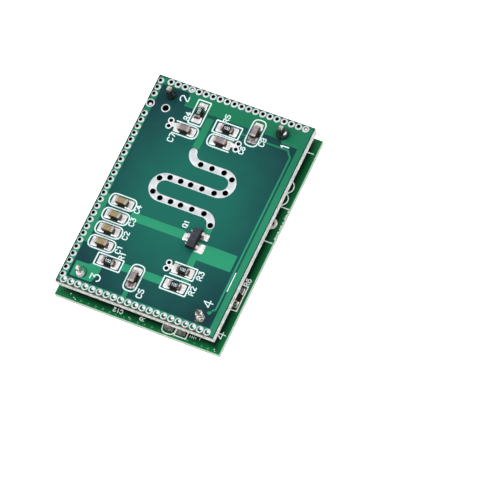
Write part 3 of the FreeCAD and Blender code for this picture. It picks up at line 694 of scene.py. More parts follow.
def rf_place(x, y, lift=0.0):
    """The move to such a place, and to a height above the board's face."""
    return Matrix.Translation((*rf(x, y), RF_TOP + lift))


def rf_loop(points):
    return [rf(x, y) for x, y in points]


# Places of the vias, one millimetre apart, and copper under the radio board's mask

top_row = [(-9.12 + k, 14.94) for k in range(20)]
left_column = [(-10.56, 14.7 - k) for k in range(3)] + [(-10.56, 9.72 - k) for k in range(25)]
bottom_row = [(-10.05 + k, -14.93) for k in range(21)]
fence = top_row + left_column + bottom_row


def copper(name, figures, material):
    stock = Stock()
    for loops in figures:
        stock.add(*plate(loops, RF_TOP, COPPER_RISE, COPPER_RISE * 0.45))
    stock.piece(name, material, "radio_board_mask", angle=60)


def band(x0, x1, y0, y1):
    return [rf_loop(rectangle(x0, x1, y0, y1, 0.08))]


FRAME_OUTSIDE = [(-10.85, -15.31), (10.87, -15.31), (10.87, 15.31), (-10.85, 15.31)]
FRAME_INSIDE = [(-9.97, 14.34), (-6.15, 14.34), (-6.15, 12.42), (7.55, 12.42), (7.75, 12.2), (7.75, 11.98),
                (10.04, 11.98), (10.04, -14.36), (-1.6, -14.36), (-1.6, -13.4), (-2.22, -13.4),
                (-2.22, -14.36), (-9.97, -14.36), (-9.97, -9.24), (-9.45, -9.24), (-9.45, -2.19),
                (-9.97, -2.19)]
PIN_3_PATCH = [(-9.64, -11.98), (-8.0, -11.93), (-7.62, -11.68), (-6.17, -11.8), (-6.17, -12.75),
               (-6.66, -14.1), (-9.64, -14.1)]
PATCH = [(3.6, -7.75), (4.56, -7.75), (4.56, -6.57), (9.2, -6.57), (9.2, -4.2), (3.6, -4.2)]
TRACE = [(2.38, 11.4), (9.0, 11.38), (9.69, 10.5), (9.69, -11.75), (9.3, -12.2)]
TRACE_END = [(8.75, -12.5), (9.1, -12.8), (9.36, -12.6), (9.4, -12.1), (9.0, -12.3)]
frame_loops = [rf_loop(FRAME_OUTSIDE), rf_loop(rounded(FRAME_INSIDE, 0.1, 3))]
frame_loops.append(circle(*rf(7.45, 13.2), 0.7, 24))
frame_loops += [circle(*rf(x, y), 0.24, 12) for x, y in fence]
frame_loops.append(circle(*rf(-10.4, 11.3), 0.38, 16))
traces = [
    band(-2.65, -1.64, 7.5, 11.95),
    band(-5.9, 1.7, -4.61, -3.38),
    [rf_loop(rounded(PATCH, 0.1))],
    band(3.9, 4.95, -9.95, -9.4),
    band(-4.0, -2.65, -11.29, -10.22),
    band(-0.9, 1.8, -11.27, -10.17),
    [rf_loop(rounded(PIN_3_PATCH, 0.15)), circle(*rf(-8.3, -13.5), 0.5, 24)],
    band(3.77, 4.7, -3.0, -2.0),
    [rf_loop(stroke_outline(TRACE, 0.25))],
    [rf_loop(rounded(TRACE_END, 0.2))],
]
copper("copper_frame_under_mask", [frame_loops], FRAME_COPPER)
copper("copper_under_mask", traces, COPPER)


# Tuning line with rounded edges and round holes

LINE_ROWS = (5.64, 2.61, -0.42)
LINE_WIDTH = 1.05
LINE_THICK, LINE_EDGE = 0.06, 0.025
TURN_RADIUS = 1.515
BEND_RADIUS = 1.45
UPPER_BEND = (-0.73, LINE_ROWS[0] + BEND_RADIUS)
RIGHT_TURN = (2.92, LINE_ROWS[0] - TURN_RADIUS)
LEFT_TURN = (-3.55, LINE_ROWS[1] - TURN_RADIUS)
LOWER_BEND = (2.75, LINE_ROWS[2] - BEND_RADIUS)
BEND_STOP = 10
HOLE_RADIUS = 0.372
HOLE_XS = (-3.46, -1.96, -0.56, 1.03, 2.73)
HOLE_TURN = 41

line_middle = arc(UPPER_BEND, BEND_RADIUS, 186, 270, 12) + arc(RIGHT_TURN, TURN_RADIUS, 90, -90, 24)
line_middle += arc(LEFT_TURN, TURN_RADIUS, 90, 270, 24) + arc(LOWER_BEND, BEND_RADIUS, 90, BEND_STOP, 12)
hole_places = [(x, LINE_ROWS[0]) for x in HOLE_XS[2:]] + [(x, y) for y in LINE_ROWS[1:] for x in HOLE_XS]
for centre, radius, angle in (
    (RIGHT_TURN, TURN_RADIUS, -HOLE_TURN), (RIGHT_TURN, TURN_RADIUS, HOLE_TURN),
    (LEFT_TURN, TURN_RADIUS, 180 - HOLE_TURN), (LEFT_TURN, TURN_RADIUS, 180 + HOLE_TURN),
    (LOWER_BEND, BEND_RADIUS, BEND_STOP),
):
    hole_places.append(arc(centre, radius, angle, angle + 1, 1)[0])
hole_places = rf_loop(hole_places)
line_loops = [rf_loop(stroke_outline(line_middle, LINE_WIDTH))]
line_loops += [circle(x, y, HOLE_RADIUS, 28) for x, y in hole_places]
line = Stock()
line.add(*plate(line_loops, RF_TOP, LINE_THICK, LINE_EDGE))
line.piece("tinned_line", TINNED, hides=("tuning_line",), angle=50)
barrel = turned([(0.378, 0.02), (0.376, -1.19), (0.36, -1.19), (0.36, 0.0)], 28, closed=True)
repeated("line_hole_walls", barrel, hole_places, BARREL, turn=0.0)


# Vias

def off_centre(pattern, inner, shift):
    """A ring whose outer part lies a little to one side of its hole."""
    points, faces = pattern
    shifted = []
    for x, y, z in points:
        share = 1.0 if math.hypot(x, y) > inner else 0.0
        shifted.append((x + shift[0] * share, y + shift[1] * share, z))
    return shifted, faces


def ring(outer, inner, rise, count=24):
    """A flat soldered ring with rounded edges."""
    profile = [(outer, -0.005), (outer - 0.005, rise * 0.7), (outer - 0.035, rise * 0.94),
               ((outer + inner) / 2, rise), (inner + 0.012, rise * 0.9), (inner, rise * 0.5),
               (inner + 0.005, -0.005)]
    return turned(profile, count, closed=True)


TOP_RING = off_centre(ring(0.465, 0.245, 0.07), 0.26, (0.0, -0.03))
LEFT_RING = off_centre(ring(0.41, 0.24, 0.07), 0.26, (0.11, -0.02))
BOTTOM_RING = ring(0.465, 0.3, 0.07)
VIA_WALL = turned([(0.29, 0.04), (0.25, 0.03), (0.204, -0.02), (0.197, -0.1), (0.197, -1.19),
                   (0.206, -1.19), (0.206, -0.03), (0.29, -0.005)], 18, closed=True)
chip_vias = [(x, y + side) for x, y in ((-6.77, 9.57), (2.73, 9.57), (1.48, -8.5)) for side in (-0.41, 0.41)]
filled = [top_row[3], top_row[-1]]
SMALL_RING = ring(0.425, 0.255, 0.065)
PLUG = turned([(0.19, -0.6), (0.2, -0.08), (0.14, 0.0), (0.06, 0.03), (0.01, 0.035)], 20)
DOME = turned([(0.06, -0.3), (0.08, -0.05), (0.16, 0.04), (0.2, 0.07), (0.19, 0.09), (0.12, 0.1),
               (0.06, 0.105), (0.01, 0.106)], 20)
DOME_SHIFT = 0.14
DOME_SPREAD = 0.04
domes = []
for x, y in bottom_row:
    domes.append([about(c + DOME_SHIFT, DOME_SPREAD) for c in (x, y)])
LARGE_RING = ring(0.585, 0.42, 0.06, 32)
LARGE_WALL = turned([(0.445, 0.05), (0.38, 0.045), (0.345, -0.04), (0.34, -0.1), (0.34, -1.19),
                     (0.347, -1.19), (0.35, -0.04), (0.44, -0.005)], 32, closed=True)
LARGE_FILL = turned([(0.2, -0.5), (0.22, -0.1), (0.2, 0.0), (0.13, 0.04), (0.05, 0.055), (0.01, 0.06)], 20)
LARGE_HOLES = [(-10.4, 11.3), (-8.2, 11.3)]
for name, pattern, places, *looks in (
    ("via_rings_top", TOP_RING, top_row, TINNED, 0.015, 0.15, 0.0),
    ("via_rings_left", LEFT_RING, left_column, TINNED, 0.015, 0.15, 0.0),
    ("via_rings_bottom", BOTTOM_RING, bottom_row, TINNED, 0.015, 0.15, 0.0),
    ("via_walls", VIA_WALL, fence + chip_vias, BARREL),
    ("chip_via_rings", SMALL_RING, chip_vias, VIA_SOLDER, 0.02, 0.2),
    ("via_plugs", PLUG, filled, SOLDER, 0.02, 0.1),
    ("via_domes", DOME, domes, VIA_SOLDER, 0.1, 0.2),
    ("large_hole_rings", LARGE_RING, LARGE_HOLES, TINNED, 0.01, 0.2),
    ("large_hole_walls", LARGE_WALL, LARGE_HOLES, BARREL),
    ("large_hole_fill", LARGE_FILL, [(-10.33, 11.18)], TINNED),
):
    repeated(name, pattern, rf_loop(places), *looks)


# Stroke font for the print

UPWARD = 90
OVAL = [(1, 0), (0, 1), (0, 5), (1, 6), (3, 6), (4, 5), (4, 1), (3, 0), (1, 0)]
GLYPHS = {
    "C": [[(4, 5), (3, 6), (1, 6), (0, 5), (0, 1), (1, 0), (3, 0), (4, 1)]],
    "R": [[(0, 0), (0, 6), (3, 6), (4, 5), (4, 4), (3, 3), (0, 3)], [(2, 3), (4, 0)]],
    "Q": [OVAL, [(2.5, 1.6), (4, 0)]],
    "0": [OVAL],
    "1": [[(0.8, 4.6), (2, 6), (2, 0)]],
    "2": [[(0, 4.8), (1, 6), (3, 6), (4, 5), (4, 4), (0, 0), (4, 0)]],
    "3": [[(0.7, 6), (3.8, 6)], [(3.8, 6), (2.2, 3.6)],
          [(2.2, 3.6), (3.3, 3.9), (4, 3), (4, 1.4), (2.9, 0), (0.9, 0), (0, 1.4)]],
    "4": [[(3, 0), (3, 6)], [(3, 6), (0, 2)], [(0, 2), (4.4, 2)]],
    "5": [[(4, 6), (0.3, 6), (0.1, 3.4), (3, 3.6), (4, 2.5), (4, 1), (3, 0), (1, 0), (0, 1)]],
    "6": [[(3.6, 5.6), (1.8, 6), (0, 4), (0, 1), (1, 0), (3, 0), (4, 1), (4, 2.5), (3, 3.5), (0.2, 3.2)]],
    "7": [[(0, 6), (4, 6), (1.5, 0)]],
    "8": [[(1, 3), (0, 4), (0, 5), (1, 6), (3, 6), (4, 5), (4, 4), (3, 3), (1, 3)],
          [(3, 3), (4, 2), (4, 1), (3, 0), (1, 0), (0, 1), (0, 2), (1, 3)]],
    "9": [[(0.4, 0.4), (2.2, 0), (4, 2), (4, 5), (3, 6), (1, 6), (0, 5), (0, 3.5), (1, 2.5), (3.8, 2.8)]],
}


def eased(points):
    """A stroke with its corners cut once, ends kept."""
    result = [points[0]]
    for (x0, y0), (x1, y1) in zip(points, points[1:]):
        result += [(x0 * (1 - t) + x1 * t, y0 * (1 - t) + y1 * t) for t in (0.25, 0.75)]
    return result + [points[-1]]


def write(stock, words, x, y, tall, z, turn=UPWARD, width=0.15, place=Matrix.Identity(4)):
    """Words in the stroke font, centred on x and y, with their baseline turned by so many degrees."""
    size = tall / 6
    advance = 5.6 * size
    length = advance * len(words) - 1.6 * size
    angle = math.radians(turn)
    for k, letter in enumerate(words):
        for points in GLYPHS[letter]:
            path = []
            for u, v in eased(points):
                a, b = k * advance + u * size - length / 2, v * size - tall / 2
                path.append((x + a * math.cos(angle) - b * math.sin(angle),
                             y + a * math.sin(angle) + b * math.cos(angle)))
            ribbon(stock, path, width, z, place=place)


# Chips: bodies, metal ends, pads and solder

# A solder pad's grid over half its width and along its slope, its thickness under the chip, and how far and
# from which share of the slope its outer corners are cut
PAD_GRID = 6
SLOPE_STEPS = (0.06, 0.14, 0.24, 0.38, 0.55, 0.72, 0.86, 0.95, 1.0)
PAD_BED = 0.02
CORNER_CUT, CORNER_FROM = 0.1, 0.86
# Its waves, which sink only so far that the copper stays under them
SOLDER_WAVES = (-0.012, 0.016)
SOLDER_DIP = -0.002


def solder_pad(width, inner, end, outer, rise):
    """Solder on one pad of a chip along +X: flat under the chip, then a hollow slope up its end."""
    across = [k / PAD_GRID - 1 for k in range(2 * PAD_GRID + 1)]
    along = [inner, inner + 0.03, end - 0.06, end] + [end + (outer - end) * t for t in SLOPE_STEPS]
    swell = [dice.uniform(*SOLDER_WAVES) for _ in range(3)]
    points, faces = [], []
    for x in along:
        t = max(0.0, (x - end) / (outer - end))
        for v in across:
            slope = rise * (1 - t) ** 3 * (1 - 0.6 * abs(v) ** 3) if x >= end - 0.07 else PAD_BED
            wave = swell[0] * math.sin(3 * v + 5 * t) + swell[1] * math.cos(4 * v - 3 * t + swell[2] * 99)
            inside = abs(v) < 0.99 and inner < x < outer
            z = PAD_RISE + slope + max(wave, SOLDER_DIP) if inside else 0.004
            corner = CORNER_CUT * max(0.0, t - CORNER_FROM) / (1 - CORNER_FROM) * abs(v) ** 8
            points.append((x - corner, v * width / 2 * (1 - 0.04 * t * t), z))
    rows, columns = len(along), len(across)
    under = len(points)
    points += [(x, y, -0.004) for x, y, z in points]
    for i in range(rows - 1):
        for j in range(columns - 1):
            a = i * columns + j
            faces.append([a, a + columns, a + columns + 1, a + 1])
            faces.append([under + a, under + a + 1, under + a + columns + 1, under + a + columns])
    border = list(range(columns)) + [i * columns + columns - 1 for i in range(1, rows)]
    border += [(rows - 1) * columns + j for j in range(columns - 2, -1, -1)]
    border += [i * columns for i in range(rows - 2, 0, -1)]
    faces += [[a, b, under + b, under + a] for a, b in zip(border, border[1:] + border[:1])]
    return points, faces


def on_face(low, high):
    """The place of a chip's box: its middle on its board's face, turned along it and away from the board."""
    middle = (low + high) / 2
    size = high - low
    turn = Matrix.Rotation(math.pi / 2, 4, "Z") if size.y > size.x else Matrix.Identity(4)
    down = middle.z < CONTROL_UNDER
    level = CONTROL_UNDER if down else (RF_TOP if middle.z > RF_TOP else CONTROL_TOP)
    flip = Matrix.Rotation(math.pi, 4, "X") if down else Matrix.Identity(4)
    return Matrix.Translation((middle.x, middle.y, level)) @ flip @ turn


def middle_height(low, high):
    return (low.z + high.z) / 2


# From a chip's middle: its metal end, and the reach of its pad. The bodies' length and width, and how much
# lower they are than the ends
END_X, END_Y = 0.8, 0.82
PAD_INNER, PAD_OUTER, PAD_WIDTH = 0.5, 1.47, 1.28
RESISTOR_BODY = (1.12, 0.8, 0.02)
CAPACITOR_BODY = (1.5, 0.76, 0.07)
# How much taller than its node a chip is drawn, its least height, and how deep a mark lies in its face
ADDED_HEIGHT, LEAST_HEIGHT = 0.08, 0.3
MARK_DEPTH = 0.012
# Left to chance: a chip's shift and turn, the width of its ends, its solder's climb and the reach of the
# painted shade on its pad
CHIP_SHIFT, CHIP_TURN = 0.03, 1.5
END_WIDTHS = (0.26, 0.34)
SOLDER_CLIMBS = (0.04, 0.12)
PAD_SHADE_REACHES = (0.08, 0.17)
CHIP_KINDS = {"capacitor_tan": TAN, "capacitor_mauve": MAUVE, "resistor_black": BLACK_GLAZE}
ROUGH_PADS = ["capacitor_c5", "capacitor_c8"]
STAIN_AND_SHADE_SHAPE = rounded([(-0.55, -0.6), (-0.1, -0.66), (0.5, -0.56), (0.58, 0.2), (-0.58, 0.2)], 0.2)
NARROW = Matrix.Diagonal((0.8, 1, 1, 1))
chip_nodes = sorted(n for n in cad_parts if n.startswith(("capacitor", "resistor")))
bodies = {kind: Stock() for kind in CHIP_KINDS}
stood_for = {kind: [] for kind in CHIP_KINDS}
caps, dark_caps, joints, low_joints, rough, flux_and_shade, pad_shades, marks = (Stock() for _ in range(8))
for node in chip_nodes:
    low, high = node_box(node)
    place = on_face(low, high)
    tall = max(high.z - low.z + ADDED_HEIGHT, LEAST_HEIGHT)
    middle = PAD_RISE + tall / 2
    on_top = middle_height(low, high) > RF_TOP
    resistor = node.startswith("resistor")
    kind = "resistor_black" if resistor else "capacitor_tan" if node in TAN_CHIPS else "capacitor_mauve"
    nudge = Matrix.Translation((about(0, CHIP_SHIFT), about(0, CHIP_SHIFT), 0))
    chip = place @ nudge @ Matrix.Rotation(math.radians(about(0, CHIP_TURN)), 4, "Z")
    length, width, less = RESISTOR_BODY if resistor else CAPACITOR_BODY
    bodies[kind].add(*soft_box((length, width, tall - less), (0, 0, middle), 0.04), chip)
    stood_for[kind].append(node)
    if resistor:
        write(marks, "100", 0, 0, 0.36, PAD_RISE + tall - MARK_DEPTH, 0, 0.06, chip @ NARROW)
    for side in (0, math.pi):
        turn = Matrix.Rotation(side, 4, "Z")
        cap = dice.uniform(*END_WIDTHS)
        ends = dark_caps if resistor and on_top else caps
        ends.add(*soft_box((cap, END_Y, tall), (END_X - cap / 2, 0, middle), 0.06, 3), chip @ turn)
        rise = tall * dice.uniform(*SOLDER_CLIMBS)
        solder = rough if node in ROUGH_PADS and side else joints if on_top else low_joints
        solder.add(*solder_pad(PAD_WIDTH, PAD_INNER, END_X - 0.01, PAD_OUTER, rise), place @ turn)
        # Painted shadow and reflection of the chip on its pad: a dark strip beside one metal end only
        reach = dice.uniform(*PAD_SHADE_REACHES)
        shade = rounded([(0.7, -0.5), (0.8 + reach, -0.46), (0.8 + reach * 0.7, 0.3), (0.7, 0.46)], 0.12)
        if (side > 0) == (high.y - low.y > high.x - low.x):
            pad_shades.add(*plate([shade], 0, PAD_RISE + 0.075 + rise * 0.55, 0.01), place @ turn)
    # Under each chip, baked flux and a painted shadow of its body in one dark patch, which reaches out in
    # front
    stain_and_shade = [(about(x, 0.02), about(y, 0.02)) for x, y in STAIN_AND_SHADE_SHAPE]
    flux_and_shade.add(*plate([stain_and_shade], 0, 0.03, 0.01), place)
for kind, stock in bodies.items():
    stock.piece(kind + "_bodies", CHIP_KINDS[kind], kind, hides=stood_for[kind])
# Solder from a chip's pad to the vias beside it
for x0, x1, y in ((-6.5, -5.85, 9.55), (1.95, 2.46, 9.55), (1.74, 2.3, -8.5)):
    bridge = rf_loop(oblong((x0 + x1) / 2, y, x1 - x0, 0.6, 0.1))
    joints.add(*plate([bridge], RF_TOP, PAD_RISE, 0.02))
caps.piece("capacitor_ends", CAP, hides=("rf_chip_ends",))
dark_caps.piece("resistor_ends", DARK_CAP, hides=("inner_chip_ends", "under_chip_ends"))
low_joints.piece("lower_chip_solder", SHADED_SOLDER, hides=("inner_solder_pads",))
rough.piece("rough_chip_solder", ROUGH, angle=60)
pad_shades.piece("dark_solder_roots", PAD_SHADE)
flux_and_shade.piece("flux_stains", FLUX_AND_SHADE)
marks.piece("resistor_marks", PRINT, "resistor_black", angle=60)


# Solder under the transistor's leads

low, high = node_box("transistor_case")
case_middle = (low + high) / 2
for side, y, width, outer in ((math.pi, -4.13, 1.1, 1.66), (0, -3.34, 0.95, 1.54), (0, -4.98, 1.42, 1.66)):
    place = Matrix.Translation((case_middle.x, rf(0, y)[1], RF_TOP)) @ Matrix.Rotation(side, 4, "Z")
    joints.add(*solder_pad(width, 0.5, 1.16, outer, 0.2), place)
    for _ in range(3):
        lump = (dice.uniform(0.3, 0.5), width * dice.uniform(0.4, 0.7), dice.uniform(0.2, 0.34))
        spot = (dice.uniform(0.85, outer - 0.25), width * about(0, 0.2), 0.1)
        joints.add(*soft_box(lump, spot, 0.09, 3), place)
joints.piece("chip_solder", SOLDER, hides=("rf_solder_pads",), angle=60)
case_mark = Stock()
write(case_mark, "12", case_middle.x, case_middle.y, 0.7, high.z - MARK_DEPTH, width=0.1)
case_mark.piece("case_mark", CASE_MARK, "case_black", angle=60)


# Solder round the link pins, with a painted highlight on pin 1 and a painted shadow round pin 4

def blob(stock, x, y, profile, lean=0.0):
    """A turned blob whose upper part leans along Y."""
    points, faces = turned(profile, 28)
    top = profile[-1][1]
    shifted = [(px, py + lean * (pz / top) ** 2, pz) for px, py, pz in points]
    stock.add(shifted, faces, rf_place(x, y))


dark_pins_and_shadow, bright_and_highlight, mottled, dark_ring = Stock(), Stock(), Stock(), Stock()
COLLAR = [(0.47, 1.0), (0.445, 1.5), (0.43, 1.75), (0.3, 1.8)]
ROUND_CUP = [(0.8, -0.01), (0.83, 0.14), (0.83, 0.34), (0.76, 0.56), (0.64, 0.72), *COLLAR]
SLIM_CUP = [(0.66, -0.01), (0.67, 0.12), (0.62, 0.36), (0.55, 0.62), *COLLAR]
PEAR = [(0.48, -0.01), (0.5, 0.1), (0.52, 0.35), (0.5, 0.62), (0.46, 0.8), (0.4, 0.92), (0.3, 0.95)]
TALL_PEAR = [(0.54, -0.01), (0.56, 0.12), (0.54, 0.4), (0.5, 0.8), (0.47, 1.2), (0.445, 1.6), (0.3, 1.75)]
PIN_4_SHADOW_RING = [(0.7, -0.005), (0.7, 0.05), (0.6, 0.1), (0.4, 0.12)]
PIN_3_RING = [(0.79, -0.03), (0.76, 0.03), (0.7, 0.03), (0.66, -0.03)]
HIGHLIGHT_SPOT = [(0.02, -0.14), (0.2, -0.12), (0.3, 0.0), (0.24, 0.1), (0.1, 0.16), (0.01, 0.165)]
blob(dark_pins_and_shadow, 7.45, 13.2, ROUND_CUP)
blob(dark_pins_and_shadow, -8.25, 13.2, SLIM_CUP)
# Painted shadow: a dark ring round pin 4's base, set off to its lower left
blob(dark_pins_and_shadow, 8.3, -13.56, PIN_4_SHADOW_RING)
blob(bright_and_highlight, -8.32, -13.54, PEAR, -0.1)
blob(mottled, 8.4, -13.5, TALL_PEAR)
# A painted highlight: a small bright lump on pin 1's dark dome
bright_and_highlight.add(*turned(HIGHLIGHT_SPOT, 16), rf_place(7.84, 13.1, 0.86))
# A dark green ring beside pin 3's solder
dark_ring.add(*turned(PIN_3_RING, 32, closed=True), rf_place(-8.4, -13.27, COPPER_RISE))
dark_ring.piece("pin_residue", RING_GREEN)
dark_pins_and_shadow.piece("dull_pin_solder", DARK_SOLDER_AND_SHADOW, hides=("upper_link_joints",))
bright_and_highlight.piece("bright_pin_solder", SATIN_SOLDER_AND_HIGHLIGHT)
mottled.piece("mottled_pin_solder", MOTTLED)


# White print on the radio board

def outline(stock, x, y, width, length, radius, opening=None, cut=0.0):
    """A printed outline. Its opening is the side left open, and the cut is how far the ends stand back."""
    if opening is None:
        ribbon(stock, oblong(x, y, width, length, radius), PRINT_WIDTH, RF_TOP, True)
        return
    x0, x1, y0, y1 = x - width / 2, x + width / 2, y - length / 2, y + length / 2
    corners = [(x0 + cut, y0), (x1, y0), (x1, y1), (x0 + cut, y1)]
    if opening == "right":
        corners = [(x1 - cut, y1), (x0, y1), (x0, y0), (x1 - cut, y0)]
    path = corners[:1] + rounded(corners, radius)[5:-5] + corners[-1:]
    ribbon(stock, path, PRINT_WIDTH, RF_TOP)


silk = Stock()
ROUND, SQUARE = 0.75, 0.1
for x, y, width, length, radius, *opening in (
    (-7.62, -2.68, 3.6, 1.7, ROUND), (-7.62, -4.78, 3.6, 1.7, ROUND), (-7.62, -6.8, 3.6, 1.7, ROUND),
    (-7.62, -8.81, 3.6, 1.7, ROUND), (-4.57, 9.33, 3.56, 1.72, ROUND, "left", 0.35),
    (0.52, 9.33, 3.6, 1.72, ROUND, "right", 0.35), (4.12, 12.12, 1.75, 3.8, ROUND),
    (-1.78, -11.6, 1.76, 3.7, ROUND), (-3.78, 12.2, 1.75, 3.5, SQUARE), (0.56, 11.28, 3.6, 1.7, SQUARE),
    (-5.69, -10.82, 3.55, 1.68, SQUARE), (3.52, -10.76, 3.52, 1.74, SQUARE),
    (3.61, -8.54, 3.4, 1.66, SQUARE, "left", 0.3),
):
    outline(silk, *rf(x, y), width, length, radius, *opening)
for words, x, y, tall, *pen in (
    ("C7", -5.75, 7.8, 0.72), ("C6", 3.5, 9.3, 0.6), ("C8", 5.5, 11.26, 0.68), ("C5", -0.14, -13.28, 0.7),
    ("C4", -5.4, -2.9, 0.65), ("C3", -5.28, -4.76, 0.65), ("C2", -5.26, -6.76, 0.65),
    ("C1", -5.26, -8.78, 0.65), ("R5", -0.15, 12.69, 0.65), ("R4", -5.08, 11.25, 0.65),
    ("R1", -4.45, -9.45, 0.65), ("R3", 5.97, -8.37, 0.68), ("R2", 5.86, -10.59, 0.68), ("Q1", 1.2, -2.5, 0.6),
    ("2", -6.47, 13.35, 1.15, 0.17), ("1", 8.41, 11.74, 1.1, 0.17), ("3", -6.38, -13.32, 1.28, 0.17),
    ("4", 8.46, -11.46, 1.2, 0.14),
):
    write(silk, words, *rf(x, y), tall, RF_TOP, UPWARD, *pen)
ribbon(silk, rf_loop([(9.97, -6.4), (9.97, -9.06)]), 0.13, RF_TOP)
for x, y in ((2.3, -3.1), (2.3, -4.95)):
    ribbon(silk, rf_loop([(x - 0.03, y), (x + 0.03, y)]), 0.14, RF_TOP)
silk.piece("print_on_radio_board", PRINT, "radio_board_mask", angle=60)


# Control board: print, light sensor ring, small vias

lower = Stock()


def low_line(points, width=0.15, closed=False):
    """A line on the control board, placed from the radio board's middle."""
    ribbon(lower, rf_loop(points), width, CONTROL_TOP, closed)


low_line([(8.6, 13.53), (11.05, 13.53)])
low_line(circle(9.75, 8.2, 0.95, 28), closed=True)
low_line(circle(9.75, 6.4, 0.95, 28), closed=True)
low_line([(8.5, 5.35), (11.35, 5.35)])
low_line([(8.5, 0.3), (11.3, 0.3)])
low_line([(9.3, -6.2), (11.0, -6.2), (11.0, -9.8), (9.3, -9.8)], closed=True)
write(lower, "R6", *rf(10.68, -5.75), 0.65, CONTROL_TOP, width=0.14)
write(lower, "4", *rf(10.5, -13.5), 1.25, CONTROL_TOP, width=0.13)
low_line(rounded([(3.15, -15.7), (4.95, -15.7), (4.95, -12.0), (3.15, -12.0)], 0.75), closed=True)
low_line([(5.0, -15.55), (6.6, -15.55), (6.6, -12.0), (5.0, -12.0)], closed=True)
write(lower, "C12", *rf(-3.04, -15.12), 0.5, CONTROL_TOP, turn=180, width=0.11)
write(lower, "R10", *rf(0.33, -14.5), 0.6, CONTROL_TOP, width=0.11)
for x, y in ((7.02, -15.1), (7.29, -15.09), (7.52, -15.1), (7.79, -15.09), (8.32, -15.03)):
    low_line([(x - 0.02, y + 0.24), (x, y)], 0.07)
lower.piece("print_on_control_board", LOW_PRINT, "control_board_mask", angle=60)
SENSOR_RING = turned([(0.8, -0.005), (0.79, 0.06), (0.7, 0.12), (0.5, 0.15), (0.4, 0.13), (0.37, 0.0),
                      (0.362, -0.05), (0.362, -0.79), (0.366, -0.79), (0.37, -0.05), (0.39, -0.005)],
                     32, closed=True)
SENSOR_FILL = turned([(0.3, -0.3), (0.355, -0.1), (0.35, 0.06), (0.26, 0.09), (0.1, 0.1), (0.01, 0.1)], 24)
SENSOR_HOLES = [(10.05, 2.8), (7.51, 2.8)]
SPECK = turned([(0.065, -0.002), (0.06, 0.03), (0.035, 0.045), (0.01, 0.05)], 8)
specks = [(-9.65, -15.2), (-9.1, -15.52), (-8.83, -15.66), (-1.33, -15.46), (10.58, -15.48), (10.73, -15.7)]
COVERED_VIA = turned([(0.13, -0.002), (0.11, 0.018), (0.06, 0.028), (0.01, 0.03)], 12)
covered = [(about(-7.98 + 0.99 * k, 0.08), -15.6 + dice.uniform(-0.08, 0.06)) for k in range(19)]
for name, pattern, places, material, size, height, slot in (
    ("sensor_rings", SENSOR_RING, SENSOR_HOLES, PASTE, 0.0, 0.1, "tinned_solder"),
    ("sensor_fill", SENSOR_FILL, SENSOR_HOLES, FLUX_AND_SHADE, 0.0, 0.0, "tinned_solder"),
    ("small_vias", SPECK, specks, LOW_PRINT, 0.3, 0.2, "control_board_mask"),
    ("covered_vias", COVERED_VIA, covered, COVERED, 0.3, 0.2, "control_board_mask"),
):
    repeated(name, pattern, rf_loop(places), material, size, height, z=CONTROL_TOP, slot=slot)


# Underside of the control board: print, and copper under the mask

UNDER = Matrix.Translation((0, 0, CONTROL_UNDER)) @ Matrix.Rotation(math.pi, 4, "X")
TEXT_GAP = 0.62
SHROUD_GAP = 0.25
PIN_GAP = 0.25
under_print, under_copper = Stock(), Stock()


def under_line(points, width=0.15, closed=False, stock=under_print):
    """A line on the underside, given in plan as seen through the board from above."""
    ribbon(stock, [(x, -y) for x, y in points], width, 0, closed, UNDER)


for node in chip_nodes:
    low, high = node_box(node)
    if middle_height(low, high) < CONTROL_UNDER:
        place = on_face(low, high)
        half, side = PAD_OUTER + 0.3, PAD_WIDTH / 2 + 0.22
        ribbon(under_print, rectangle(-half, half, -side, side, 0.1), 0.15, 0, True, place)
        write(under_print, node.split("_")[1].upper(), half + TEXT_GAP, 0, 0.65, 0, UPWARD, 0.13, place)
for node in ("signal_chip_case", "regulator_case"):
    low, high = node_box(node)
    for x in (low.x - 0.3, high.x + 0.3):
        under_line([(x, low.y), (x, high.y)])
low, high = node_box("signal_chip_case")
under_line(circle(low.x - 0.85, high.y + 0.6, 0.16, 12), closed=True)
low, high = node_box("socket_shroud")
beside = high.y + SHROUD_GAP
under_line(rectangle(low.x - SHROUD_GAP, high.x + SHROUD_GAP, low.y - SHROUD_GAP, beside, 0.1), closed=True)
low, high = node_box("socket_pins")
for k, words in enumerate("123"):
    x = low.x + PIN_GAP + (high.x - low.x - 2 * PIN_GAP) * k / 2
    write(under_print, words, x, -(beside + TEXT_GAP), 0.75, 0, 0, 0.14, UNDER)
for words, x, y in (("1", 6.9, -13.2), ("2", -6.9, -13.2), ("3", -6.9, 13.3), ("4", 6.9, 13.3)):
    write(under_print, words, x, y, 1.0, 0, 0, 0.15, UNDER)
under_print.piece("print_on_underside", LOW_PRINT, "control_board_mask", angle=60)
